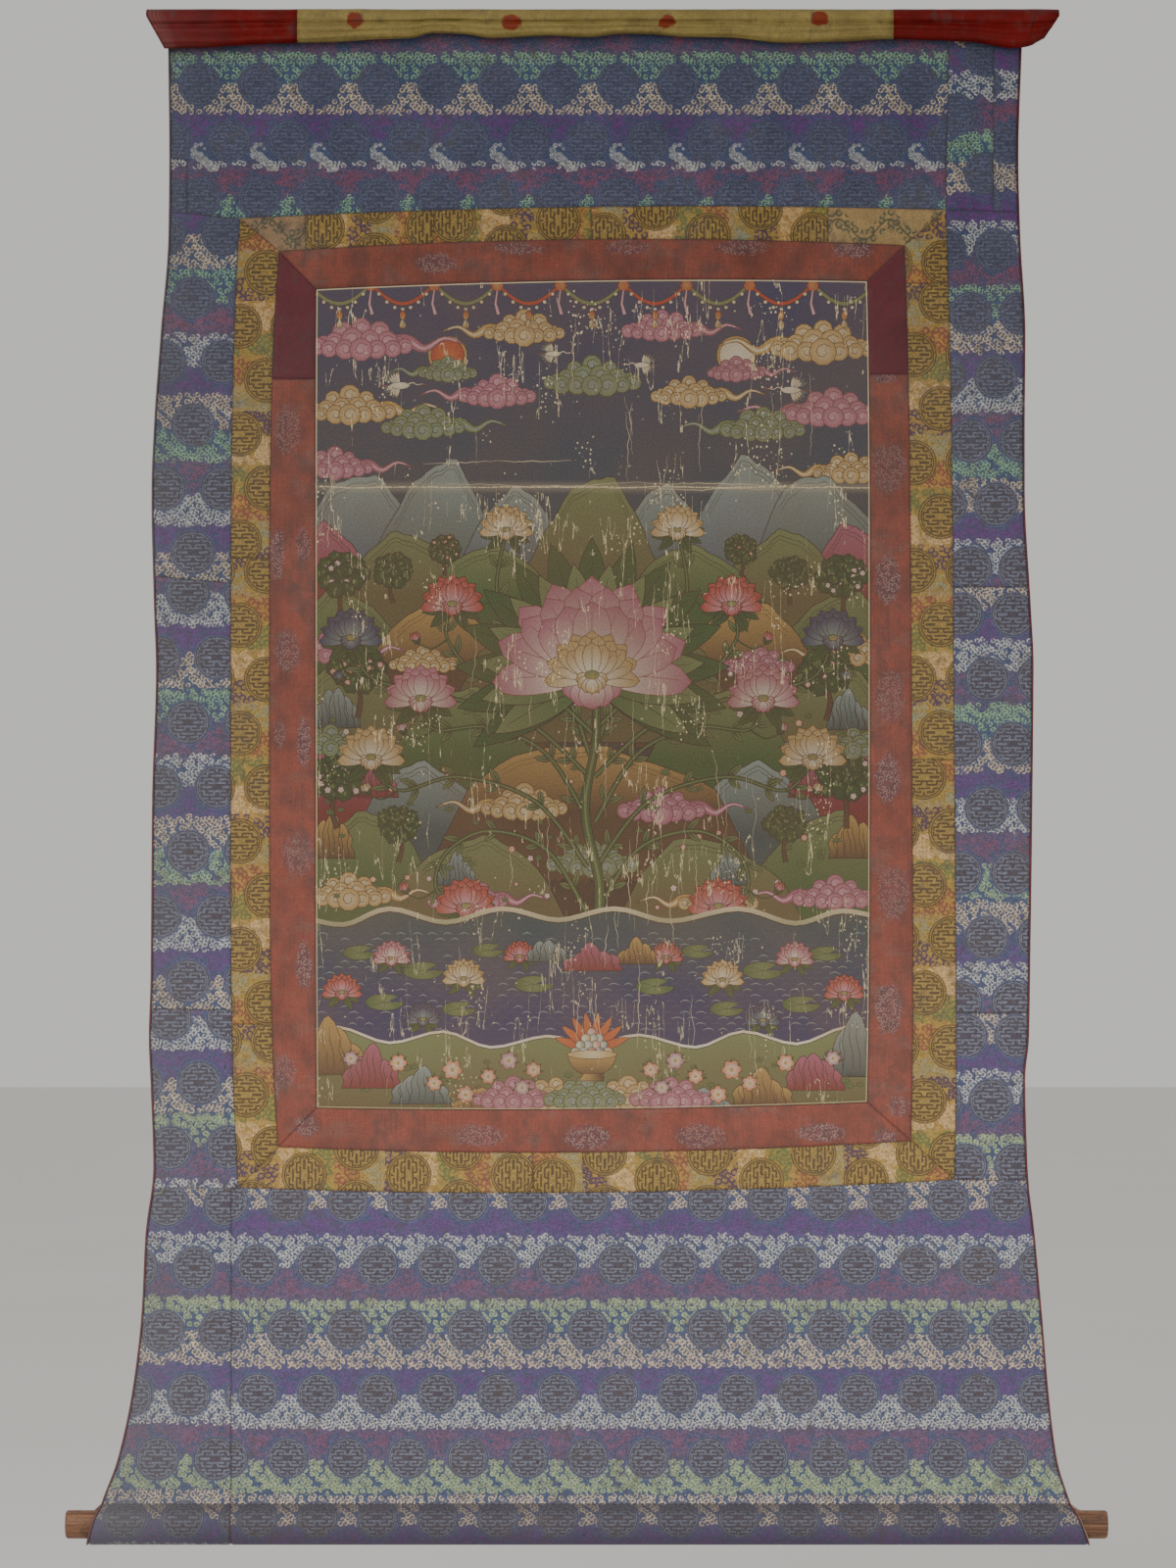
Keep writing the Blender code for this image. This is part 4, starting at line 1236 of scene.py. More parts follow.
def add_branch(picture, points, widths, leaves, size):
    """A stem with leaves along both its sides."""
    path = smooth_path(points, 8)
    for index in range(leaves):
        share = (index + 0.6) / leaves
        start = read(path, share)
        way = math.degrees(cmath.phase(read(path, share + 0.03) - read(path, share - 0.03)))
        for side in (-1.0, 1.0):
            length = size * picture.any(0.8, 1.15)
            picture.petal(
                start, way + side * 52.0, length, size * 0.34, PALE_LEAF, 0.85, -0.15 * side, vein=size > 14.0)
    picture.stroke(path, [width + 1.2 for width in widths], "ink")
    picture.stroke(path, widths, "green")
    picture.stroke(path, [width * 0.3 for width in widths], "moss")


def add_hill(picture, left, right, foot, height, tints, depth=1.0):
    """A rounded hill with lighter contour bands under its crest."""
    phase, lean = picture.any(0.0, 6.0), picture.any(-0.12, 0.12)
    crest = []
    for share in shares(16):
        bump = math.sin(math.pi * min(max(share + lean * math.sin(math.pi * share), 0.0), 1.0)) ** 0.85
        rough = 0.05 * math.sin(share * 17.0 + phase) + 0.03 * math.sin(share * 31.0 + phase * 2.0)
        crest.append(complex(left + (right - left) * share, foot - height * (bump + rough * bump)))
    base = [complex(right + height * 0.5 * depth, foot + height * depth),
            complex(left - height * 0.5 * depth, foot + height * depth)]
    picture.outlined(
        crest + base, tints.line, 0.7, tints.light, tints.dark,
        along(complex(0.0, foot - height), complex(0.0, foot + height * 0.45)))
    for drop, width in ((2.6, 0.8), (5.4, 0.6), (9.0, 0.5)):
        inner = [place + complex((0.5 - share) * drop, drop) for share, place in zip(shares(16), crest)][2:-2]
        picture.stroke(inner, [0.3, width, 0.3], tints.light if width > 0.7 else tints.line)


def add_rock(picture, place, width, height, tints):
    """Upright fingers of rock with pale edges."""
    for share in (-1.0, 1.0, -0.5, 0.55, 0.0):
        tall = height * (1.0 - 0.45 * abs(share)) * picture.any(0.85, 1.1)
        base = place + complex(share * width * 0.36, 0.0)
        half = width * 0.20
        lean = picture.any(-0.1, 0.1) * tall
        shape = [
            base + complex(x * half + lean * rise, -rise * tall) for x, rise in
            [(-1.15, 0.0), (-0.9, 0.3), (-1.1, 0.55), (-0.75, 0.8), (-0.3, 0.95), (0.1, 1.0), (0.6, 0.88),
             (0.95, 0.66), (0.8, 0.4), (1.15, 0.2), (1.2, 0.0)]]
        picture.outlined(shape, tints.line, 0.6, tints.light, tints.dark, along(base - 1j * tall, base))
        for x in (-0.35, 0.25):
            picture.stroke(
                [base + complex(x * half + lean * rise + math.sin(rise * 7.0) * half * 0.2, -rise * tall)
                 for rise in (0.1, 0.35, 0.6, 0.82)], [0.4, 0.7, 0.3], tints.line)


def add_tree(picture, place, height, spread, blossom=None):
    """A bent tree whose crown is built of leaf clusters, some with blossoms."""
    lean = picture.any(-0.12, 0.12) * height
    path = smooth_path([
        place + complex(lean * across, -height * rise)
        for across, rise in [(0.0, 0.0), (0.7, 0.3), (-0.3, 0.6), (0.2, 0.9)]], 5)
    width = height * 0.07
    picture.stroke(path, [width + 1.4, width * 0.7 + 1.2, 1.0], "ink")
    picture.stroke(path, [width, width * 0.7, 0.6], "brown")
    for side in (-1.0, 1.0):
        fork = read(path, 0.45)
        picture.stroke(
            smooth_path([fork, fork + complex(side * spread * 0.35, -height * 0.14),
                         fork + complex(side * spread * 0.6, -height * 0.36)], 4), [width * 0.6, 0.7], "brown")
    crown = place + complex(0.0, -height * 0.74)
    clusters = []
    for turns, reach in [(range(0, 360, 36), 0.78), (range(20, 380, 60), 0.42)]:
        clusters += [crown + aim(turn) * spread * reach * picture.any(0.85, 1.1) for turn in turns]
    clusters.append(crown)
    for spot in sorted(clusters, key=lambda spot: spot.imag):
        spot = complex(spot.real, crown.imag + (spot.imag - crown.imag) * 0.8)
        size = spread * picture.any(0.3, 0.38)
        cluster = rosette(spot, size, 7, 0.26, picture.any(0.0, 50.0), 3)
        picture.outlined(cluster, "ink", 0.5, "green", "leaf", around(spot, size))
        for _ in range(3):
            dab = spot + aim(picture.any(0.0, 360.0)) * size * picture.any(0.2, 0.7)
            picture.area(petal(dab, picture.any(-120.0, -60.0), size * 0.5, size * 0.22, 0.7), "moss")
        if blossom and picture.any(0.0, 1.0) < 0.6:
            middle = spot + aim(picture.any(0.0, 360.0)) * size * 0.4
            add_flower(picture, middle, size * 0.34, "white", blossom, 5)


def add_waves(picture, left, right, top, bottom):
    """Staggered rows of ripples on water."""
    for row in range(int((bottom - top) / 5.0)):
        level = top + 5.0 * row
        start = left + (6.5 if row % 2 else 0.0)
        while start < right - 8.0:
            length = picture.any(7.0, 10.5)
            path = [
                complex(start + length * share, level - 1.7 * math.sin(math.pi * share))
                for share in shares(4)]
            picture.stroke(path, [0.25, 0.8, 0.25], "foam" if picture.any(0.0, 1.0) < 0.4 else "slate")
            start += 14.0


def add_lotus_leaf(picture, place, size):
    shape = ring(place, size, 16, 0.42)[:15] + [place + complex(size * 0.1, 0.0)]
    picture.outlined(shape, "ink", 0.5, "moss", "green", around(place, size))
    for angle in range(30, 340, 62):
        way = aim(angle)
        tip = place + complex(way.real, way.imag * 0.42) * size * 0.8
        picture.stroke([place, tip], [0.5, 0.3], "leaf")


# The jewels heaped in a bowl, from the top one down: each row's rise and its places across.
BOWL_HEAP = [
    (0.90, [0.0]), (0.72, [-0.18, 0.04, 0.2]), (0.52, [-0.34, -0.11, 0.11, 0.34]),
    (0.32, [-0.48, -0.24, 0.0, 0.24, 0.48])]
JEWELS = ["red", "foam", "moss", "gold", "slate"]


def add_bowl(picture, place, size):
    """An offering bowl heaped with jewels."""
    for angle in range(-160, 0, 20):
        picture.petal(
            place - 0.35j * size, angle, size * 1.15, size * 0.24, Tints("ink", "red", "orange"), 0.8)
    heap = [(x, rise) for rise, places in BOWL_HEAP for x in reversed(places)]
    for index, (x, rise) in enumerate(heap):
        colour = JEWELS[index % len(JEWELS)]
        spot = place + complex(x, -rise) * size
        shine = around(spot - 0.05 * size, size * 0.2)
        picture.outlined(ring(spot, size * 0.14, 10), "ink", 0.5, "white", colour, shine)
    bowl = [place + complex(0.7 * math.cos(angle), 0.62 * math.sin(angle) - 0.25) * size
            for angle in (math.pi * share for share in shares(14))]
    picture.outlined(bowl, "ink", 0.6, "gold", "brown", along(place - 0.3j * size, place + 0.4j * size))
    picture.outlined(ring(place - 0.25j * size, size * 0.74, 18, 0.16), "ink", 0.5, "cream", "gold",
                     around(place - 0.25j * size, size * 0.7))
    foot = [place + complex(x, y) * size for x, y in (
        (-0.24, 0.32), (0.24, 0.32), (0.36, 0.52), (-0.36, 0.52))]
    picture.outlined(foot, "ink", 0.5, "gold", "brown", along(foot[0], foot[1]))


def add_crane(picture, place, size, side):
    """A crane in flight towards the left (-1) or the right (1)."""
    def spot(x, y):
        return place + complex(x * side, y) * size
    white = Tints("ink", "white", "cream")
    dark = Tints("ink", "foam", "slate")

    def feather(base, angle, length, tints):
        turn = angle if side > 0.0 else 180.0 - angle
        picture.petal(base, turn, length * size, size * 0.13, tints, 0.6, line=0.35)
    for lean in range(5):
        feather(spot(-0.1, -0.05), -160.0 + lean * 17.0, 0.62 - 0.03 * lean, dark)
        feather(spot(-0.05, 0.02), 168.0 - lean * 17.0, 0.66 - 0.03 * lean, dark)
    for lean in range(4):
        feather(spot(-0.05, -0.03), -150.0 + lean * 16.0, 0.44, white)
        feather(spot(-0.02, 0.02), 158.0 - lean * 16.0, 0.46, white)
    picture.stroke([spot(-0.35, 0.02), spot(-0.75, 0.06)], [0.7, 0.4], "red")
    body = petal(spot(-0.42, 0.03), 0.0 if side > 0.0 else 180.0, size * 0.78, size * 0.24)
    picture.outlined(body, "ink", 0.4, "white", "cream", around(place, size * 0.4))
    neck = smooth_path([spot(0.26, 0.0), spot(0.46, -0.08), spot(0.6, 0.0), spot(0.8, -0.03)], 3)
    picture.stroke(neck, [1.7, 1.4, 1.3], "ink")
    picture.stroke(neck, [1.0, 0.7, 0.6], "white")
    picture.stroke([spot(0.8, -0.03), spot(0.96, 0.0)], [1.2, 0.3], "red")


# The composition.

# The colours of the land: far hills, and green, olive, brown, red and teal ones.
LAND_TINTS = [
    Tints("ink", "foam", "slate"), Tints("ink", "moss", "green"), Tints("ink", "moss", "olive"),
    Tints("ink", "gold", "brown"), Tints("ink", "rose", "maroon"), Tints("ink", "foam", "teal")]


def add_clouds(picture, clouds):
    """Add a cloud for each place across and down, width, kind of cloud and side of its tail."""
    for x, y, width, kind, tail in clouds:
        add_cloud(picture, complex(x, y), width, CLOUDS[kind], tail)


def add_each(picture, add, motifs):
    """Add a motif for each place across and down, with what else its function takes."""
    for x, y, *rest in motifs:
        add(picture, complex(x, y), *rest)


def paint_sky(picture):
    picture.area([-260 - 20j, 260 - 20j, 260 + 330j, -260 + 330j], "navy", "teal", along(0j, 290j))
    for _ in range(90):
        spot = complex(picture.any(-240.0, 240.0), picture.any(30.0, 190.0))
        picture.area(rosette(spot, picture.any(0.8, 1.5), 4, 0.5, 0.0, 2), "foam")
    for side, near, far in ((-1.0, "orange", "red"), (1.0, "white", "cream")):
        disc = complex(side * 128.0, 66.0)
        picture.outlined(ring(disc, 17.0, 30), "ink", 0.6, "gold", "gold")
        picture.outlined(ring(disc, 14.6, 28), "ink", 0.5, near, far, around(disc, 15.0))
        add_cloud(picture, disc + 17j, 44.0, MOSS_CLOUD if side < 0.0 else PINK_CLOUD, side)
    add_clouds(picture, [
        (-205, 60, 78, 0, 1), (205, 62, 80, 1, -1), (-60, 48, 62, 1, -1), (62, 46, 60, 0, 1),
        (-215, 118, 70, 1, 1), (214, 120, 72, 0, -1), (-150, 132, 64, 2, 1), (152, 134, 64, 2, -1),
        (0, 92, 74, 2, 0), (-84, 104, 58, 0, -1), (86, 104, 58, 1, 1), (-228, 168, 58, 0, 1),
        (230, 172, 58, 1, -1)])
    add_each(picture, add_crane, [(-170, 92, 24, 1), (176, 96, 24, -1), (-34, 64, 19, 1), (44, 74, 19, -1)])
    paint_garland(picture)


def paint_garland(picture):
    """Strings of beads with tassels, hung along the picture's top."""
    for index in range(9):
        left = -252.0 + index * 56.0
        swag = [complex(left + 56.0 * share, 3.0 + 17.0 * math.sin(math.pi * share)) for share in shares(16)]
        picture.stroke(swag, [3.6, 4.2, 3.6], "ink")
        picture.stroke(swag, [2.4, 3.0, 2.4], "red" if index % 2 else "moss")
        low = [place + 5j * math.sin(math.pi * share) for share, place in zip(shares(16), swag)]
        for place in low[2:-1:2]:
            picture.outlined(ring(place, 1.5, 8), "ink", 0.4, "cream")
        drop = complex(left + 28.0, 26.0)
        picture.petal(drop + 9j, -90.0, 9.0, 5.0, Tints("ink", "gold", "red"))
        for lean in (-14.0, 0.0, 14.0):
            picture.petal(drop + 8j, 90.0 + lean, 8.0, 2.6, Tints("ink", "cream", "gold"), line=0.35)
        knot = complex(left, 4.0)
        picture.outlined(rosette(knot, 5.4, 8, 0.2), "ink", 0.5, "gold", "red", around(knot, 5.4))
        for foot, widths, colour in [(26.0, [1.8, 2.6, 3.6], "ink"), (25.5, [1.0, 1.8, 2.8], "pink")]:
            path = [knot + 4j, knot + complex(-1.6, 16.0), knot + complex(1.0, foot)]
            picture.stroke(path, widths, colour)


def paint_far_land(picture):
    far, green, olive, brown, red, teal = LAND_TINTS
    picture.area([-260 + 226j, 260 + 226j, 260 + 760j, -260 + 760j], "teal", "umber", along(230j, 560j))
    for hill in [
            (-262, -150, 232, 60, far), (-190, -88, 236, 76, teal), (-110, -30, 236, 52, far),
            (28, 112, 236, 54, teal), (86, 192, 236, 78, far), (150, 262, 232, 60, teal),
            (-50, 52, 240, 66, olive), (-264, -196, 262, 46, red), (196, 264, 262, 46, red),
            (-215, -120, 264, 40, olive), (118, 214, 264, 42, olive), (-140, -40, 270, 34, green),
            (38, 142, 270, 34, green), (-266, -170, 318, 44, green), (168, 266, 318, 44, green),
            (-190, -84, 326, 40, brown), (82, 190, 326, 40, brown), (-100, 100, 330, 36, olive)]:
        add_hill(picture, *hill, 2.2)
    add_each(picture, add_tree, [
        (-222, 300, 54, 22, "pink"), (222, 302, 54, 22, "pink"), (-176, 286, 40, 17, None),
        (176, 288, 40, 17, None), (-130, 262, 32, 14, "red"), (132, 262, 32, 14, "red")])
    add_clouds(picture, [
        (-236, 332, 60, 0, 1), (236, 334, 60, 1, -1), (-150, 342, 52, 1, 1), (150, 344, 52, 0, -1)])


def paint_near_land(picture):
    _, green, olive, brown, red, teal = LAND_TINTS
    for hill in [
            (-268, -150, 392, 54, olive), (150, 268, 392, 54, olive), (-170, -60, 408, 46, green),
            (58, 170, 408, 46, green), (-268, -176, 452, 44, red), (176, 268, 452, 44, red),
            (-200, -96, 470, 42, teal), (96, 200, 470, 42, teal), (-110, 110, 452, 40, brown),
            (-268, -150, 520, 48, green), (150, 268, 520, 48, green), (-170, -40, 534, 40, olive),
            (40, 170, 534, 40, olive)]:
        add_hill(picture, *hill, 2.0)
    add_each(picture, add_rock, [
        (-226, 396, 34, 40, teal), (228, 398, 34, 40, teal), (-190, 458, 30, 34, red),
        (192, 458, 30, 34, red), (-232, 512, 36, 44, brown), (232, 512, 36, 44, brown),
        (-120, 536, 30, 30, teal), (122, 536, 30, 30, teal)])
    add_each(picture, add_tree, [
        (-208, 388, 60, 24, "red"), (208, 390, 60, 24, "red"), (-226, 486, 62, 24, "pink"),
        (226, 486, 62, 24, "pink"), (-172, 516, 46, 18, None), (172, 516, 46, 18, None)])
    add_clouds(picture, [
        (-232, 414, 56, 2, 1), (232, 416, 56, 2, -1), (-60, 470, 66, 1, -1), (62, 472, 66, 0, 1),
        (-110, 552, 60, 0, 1), (112, 554, 60, 1, -1), (-216, 548, 64, 1, 1), (216, 550, 64, 0, -1),
        (0, 520, 70, 2, 0)])
    for _ in range(110):
        side = picture.chance.choice((-1.0, 1.0))
        spot = complex(side * picture.any(12.0, 240.0), picture.any(330.0, 556.0))
        if picture.any(0.0, 1.0) < 0.5:
            size = picture.any(2.0, 3.4)
            add_flower(picture, spot, size, "white", picture.chance.choice(("pink", "red", "orange")), 5)
        else:
            add_leaf_spray(picture, spot, picture.any(4.0, 7.0), -90.0, PALE_LEAF)


# A branch of the great lotus plant, on its right side: its path, and its flower's size and colours.
Branch = namedtuple("Branch", "path size tints")
BRANCHES = [
    Branch([5 + 560j, 40 + 505j, 92 + 488j, 130 + 508j, 138 + 540j, 112 + 556j], 27.0, RED_LOTUS),
    Branch([4 + 520j, 50 + 462j, 118 + 440j, 172 + 452j, 196 + 424j], 30.0, CREAM_LOTUS),
    Branch([3 + 480j, 40 + 420j, 92 + 396j, 140 + 398j, 152 + 372j], 32.0, PINK_LOTUS),
    Branch([2 + 440j, 60 + 390j, 142 + 366j, 196 + 352j, 214 + 318j], 28.0, BLUE_LOTUS),
    Branch([2 + 420j, 30 + 360j, 96 + 352j, 128 + 318j, 124 + 288j], 28.0, RED_LOTUS),
    Branch([1 + 400j, 58 + 340j, 84 + 280j, 76 + 222j], 24.0, CREAM_LOTUS),
]


def paint_plant(picture):
    """The great lotus plant, the same on both sides."""
    def mirrored(place, side):
        return complex(place.real * side, place.imag)
    for branch in BRANCHES:
        for side in (-1.0, 1.0):
            add_branch(picture, [mirrored(place, side) for place in branch.path], [3.6, 2.6, 1.6], 7, 15.0)
    for branch in BRANCHES:
        for side in (-1.0, 1.0):
            turn = branch.path[-2]
            bud = mirrored(turn + 26 + 4j, side)
            twig = smooth_path([mirrored(turn, side), mirrored(turn + 14 + 8j, side), bud], 4)
            picture.stroke(twig, [1.8, 1.0], "leaf")
            add_bud(picture, bud, -90.0 + 24.0 * side, 11.0, branch.tints)
    stem = smooth_path([0 + 600j, 7 + 540j, -6 + 470j, 4 + 400j, 0 + 330j], 8)
    picture.stroke(stem, [11.0, 8.5, 7.5], "ink")
    picture.stroke(stem, [9.4, 7.0, 6.0], "green")
    picture.stroke(stem, [3.0, 2.0, 1.6], "moss")
    for branch in BRANCHES:
        for side in (-1.0, 1.0):
            add_lotus(picture, mirrored(branch.path[-1], side), branch.size, branch.tints)
    heart = 0 + 350j
    for tints, count, length, width in [(LEAF_TINTS, 15, 122.0, 34.0), (PALE_LEAF, 14, 100.0, 30.0)]:
        for share in from_sides(count):
            picture.petal(
                heart, -90.0 + 118.0 * share, length, width, tints, 0.9, 0.05 * share, 0.7, vein=True)
    add_lotus(picture, heart, 88.0, PINK_LOTUS, False)
    add_lotus(picture, heart + 2j, 42.0, CREAM_LOTUS, False)


def paint_pond(picture):
    corners = [262 + 760j, -262 + 760j]
    shore = smooth_path([complex(x, y) for x, y in [
        (-262, 566), (-220, 574), (-180, 560), (-130, 572), (-80, 560), (-30, 570), (20, 560), (70, 571),
        (130, 560), (180, 573), (222, 562), (262, 570)]], 5)
    picture.area(widened(shore + corners, 5.0), "cream", "moss", along(556j, 580j))
    picture.outlined(shore + corners, "ink", 0.8, "teal", "navy", along(560j, 640j))
    add_waves(picture, -244.0, 244.0, 580.0, 672.0)
    add_each(picture, add_lotus_leaf, [
        (-206, 596, 15.0), (-150, 612, 18.0), (-92, 594, 14.0), (-52, 624, 17.0), (56, 626, 17.0),
        (94, 595, 14.0), (152, 612, 18.0), (208, 597, 15.0), (-184, 640, 17.0), (186, 642, 17.0),
        (-118, 646, 15.0), (120, 646, 15.0)])
    add_each(picture, add_lotus, [
        (-178, 602, 17.0, PINK_LOTUS), (-114, 620, 19.0, CREAM_LOTUS), (-64, 600, 15.0, RED_LOTUS),
        (180, 603, 17.0, PINK_LOTUS), (116, 621, 19.0, CREAM_LOTUS), (66, 601, 15.0, RED_LOTUS),
        (-222, 632, 18.0, RED_LOTUS), (224, 633, 18.0, RED_LOTUS), (-150, 656, 16.0, BLUE_LOTUS),
        (152, 657, 16.0, BLUE_LOTUS)])


def paint_bank(picture):
    """The bank before the pond, with its grass, rocks, clouds, bowl and flowers."""
    *_, brown, red, teal = LAND_TINTS
    corners = [262 + 760j, -262 + 760j]
    bank = smooth_path([complex(x, y) for x, y in [
        (-262, 672), (-225, 664), (-180, 678), (-132, 668), (-90, 682), (-40, 672), (0, 680), (42, 671),
        (92, 682), (134, 668), (182, 679), (226, 664), (262, 672)]], 4)
    picture.area(widened(bank + corners, 3.0), "cream", "white", along(662j, 680j))
    picture.outlined(bank + corners, "ink", 0.7, "moss", "olive", along(668j, 735j))
    for _ in range(70):
        spot = complex(picture.any(-240.0, 240.0), picture.any(692.0, 736.0))
        add_leaf_spray(picture, spot, picture.any(4.0, 7.5), -90.0, PALE_LEAF)
    add_each(picture, add_rock, [
        (-40, 604, 30.0, 22.0, teal), (40, 606, 30.0, 22.0, brown), (0, 612, 44.0, 24.0, red),
        (-232, 704, 52.0, 54.0, brown), (234, 706, 52.0, 54.0, teal), (-196, 716, 44.0, 38.0, red),
        (198, 718, 44.0, 38.0, red), (-152, 730, 46.0, 34.0, teal), (152, 732, 46.0, 34.0, brown),
        (-96, 740, 50.0, 28.0, brown), (98, 742, 50.0, 28.0, teal)])
    for side in (-1.0, 1.0):
        for x, kind in ((32.0, 1), (70.0, 0), (-6.0, 2)):
            add_cloud(picture, complex(side * x, 728.0), 62.0, CLOUDS[kind])
    add_bowl(picture, 0 + 694j, 30.0)
    for side in (-1.0, 1.0):
        for x, y, size in (
                (52, 700, 7), (74, 692, 8), (92, 706, 7), (124, 700, 9), (140, 712, 7), (172, 694, 8),
                (214, 690, 7), (62, 716, 7), (112, 722, 8)):
            spot = complex(side * x, y)
            add_leaf_spray(picture, spot + 3j, 13.0, -90.0)
            add_flower(picture, spot, float(size), "white", "rose" if x % 4 else "orange", 6)


def paint_cracks(picture):
    """Bare canvas where the paint has split along upright lines and along one level crease."""
    for _ in range(46):
        place = complex(picture.chance.gauss(20.0, 95.0), picture.any(20.0, 660.0))
        path = [place]
        for _ in range(picture.chance.randint(8, 26)):
            path.append(path[-1] + complex(picture.any(-1.1, 1.1), picture.any(1.6, 4.2)))
        picture.stroke(path, [0.15, picture.any(0.3, 0.75), 0.15], "cream")
    for level, left, right in ((180.0, -130.0, 210.0), (183.0, -60.0, 175.0), (162.0, -150.0, -20.0)):
        path = [complex(left, level)]
        while path[-1].real < right:
            path.append(path[-1] + complex(picture.any(2.0, 6.0), picture.any(-0.7, 0.7)))
        picture.stroke(path, [0.2, 0.7, 0.3, 0.8, 0.2], "cream")
    for _ in range(150):
        spot = complex(picture.chance.gauss(20.0, 100.0), picture.any(20.0, 700.0))
        flake = [spot + aim(60.0 * corner) * picture.any(0.3, 1.3) for corner in range(6)]
        picture.area(flake, "cream")


def paint():
    picture = Picture(7)
    paint_sky(picture)
    paint_far_land(picture)
    paint_near_land(picture)
    paint_plant(picture)
    paint_pond(picture)
    paint_bank(picture)
    paint_cracks(picture)
    return picture.areas


# Picture mesh. The canvas's face is one mesh, cut along every outline that shows and coloured by area.

PICTURE_TOP = 234.0             # the picture's top on the canvas, as a run in millimetres
MERGE_DISTANCE = 0.01           # in millimetres


def inside_outline(outline, places):
    """Say of each place in an array whether it lies inside an outline."""
    found = np.zeros(len(places), bool)
    for one, two in zip(outline, outline[1:] + outline[:1]):
        if one.imag != two.imag:
            crossed = (places.imag > one.imag) != (places.imag > two.imag)
            reach = one.real + (places.imag - one.imag) * (two.real - one.real) / (two.imag - one.imag)
            found ^= crossed & (places.real < reach)
    return found


class Places:
    """Places sorted by how far down they lie, to find those under an outline quickly."""

    def __init__(self, places):
        self.order = np.argsort(places.imag)
        self.places = places[self.order]

    def under(self, outline):
        """The indices of the places inside an outline."""
        downs = [place.imag for place in outline]
        first, last = np.searchsorted(self.places.imag, (min(downs), max(downs)))
        acrosses = [place.real for place in outline]
        across = self.places.real[first:last]
        near = np.nonzero((across > min(acrosses)) & (across < max(acrosses)))[0] + first
        return self.order[near[inside_outline(outline, self.places[near])]]


def topmost(areas, places):
    """The index of the last area that covers each place."""
    sorted_places = Places(places)
    owners = np.zeros(len(places), int)
    for index, area in enumerate(areas):
        owners[sorted_places.under(area.outline)] = index
    return owners


def visible_edges(areas):
    """The starts and ends of the outlines' sides, without what later areas cover of them."""
    starts = np.array([place for area in areas for place in area.outline])
    ends = np.array([place for area in areas for place in area.outline[1:] + area.outline[:1]])
    owners = np.repeat(np.arange(len(areas)), [len(area.outline) for area in areas])
    samples = np.linspace(0.01, 0.99, 8)
    places = starts + (ends - starts) * samples[:, None]
    bare = topmost(areas, places.ravel()).reshape(places.shape) <= owners
    last = len(samples) - 1
    first_bare, last_bare = bare.argmax(axis=0), last - bare[::-1].argmax(axis=0)
    from_start = np.where(first_bare == 0, 0.0, samples[np.maximum(first_bare - 1, 0)])
    to_end = np.where(last_bare == last, 1.0, samples[np.minimum(last_bare + 1, last)])
    shown = bare.any(axis=0)
    ways = ends - starts
    return (starts + ways * from_start)[shown], (starts + ways * to_end)[shown]


def triangles_over(places, edges):
    """Triangles over flat places that keep the given edges: their places and their corners, as arrays."""
    made = delaunay_2d_cdt(
        [Vector((place.real, place.imag)) for place in places], edges, [], 0, MERGE_DISTANCE, False)
    return np.array([complex(*place) for place in made[0]]), np.array([face for face in made[2]])


def paint_colours(areas, owners, corners):
    """Linear colours for the corners of each triangle, from the area that owns it."""
    colours = np.zeros((*corners.shape, 3))
    order = np.argsort(owners, kind="stable")
    groups = np.split(order, np.nonzero(np.diff(owners[order]))[0] + 1)
    for group in groups:
        area = areas[owners[group[0]]]
        near, far = (np.array(srgb(*PIGMENTS[name])[:3]) for name in (area.near, area.far))
        share = np.zeros(corners[group].shape)
        if area.shading:
            share = np.clip(area.shading(corners[group]), 0.0, 1.0)
        colours[group] = near + (far - near) * share[..., None]
    return colours


def rim_edges(triangles):
    """The sides that only one triangle has, in its own direction."""
    sides = np.concatenate([triangles[:, [0, 1]], triangles[:, [1, 2]], triangles[:, [2, 0]]])
    keys = np.sort(sides, axis=1)
    _, first, count = np.unique(keys, axis=0, return_index=True, return_counts=True)
    return sides[first[count == 1]]


def canvas_mesh(piece, areas):
    """Build the painted canvas as the parts of a closed sheet, and give its flat grid."""
    grid = lay_out(piece)
    flat = [[complex(across / MM, run / MM - PICTURE_TOP) for across, run in row] for row in grid]
    rim = flat[0] + [row[-1] for row in flat[1:-1]] + flat[-1][::-1] + [row[0] for row in flat[-2:0:-1]]
    starts, ends = visible_edges(areas)
    inner = [place for row in flat[1:-1] for place in row[1:-1]]
    corners, ends_at = np.unique(np.round(np.concatenate([starts, ends, rim]), 3), return_inverse=True)
    count = len(starts)
    around_rim = ends_at[2 * count:]
    edges = np.concatenate([
        np.stack([ends_at[:count], ends_at[count:2 * count]], 1),
        np.stack([around_rim, np.roll(around_rim, -1)], 1)])
    places, triangles = triangles_over([*corners, *inner], edges[edges[:, 0] != edges[:, 1]].tolist())
    middles = places[triangles].mean(axis=1)
    kept = inside_outline(rim, middles)
    triangles, middles = triangles[kept], middles[kept]
    colours = paint_colours(areas, topmost(areas, middles), places[triangles])

    # The back is a plainer sheet inside the same rim.
    outer = rim_edges(triangles)
    border = np.unique(outer)
    number = {place: index for index, place in enumerate(border)}
    back_rim = [(number[one], number[two]) for one, two in outer]
    back, back_triangles = triangles_over([*places[border], *inner[::2]], back_rim)
    back_middles = back[back_triangles].mean(axis=1)
    back_triangles = back_triangles[inside_outline(rim, back_middles)]
    return places, triangles, colours, outer, back, back_triangles, number, grid


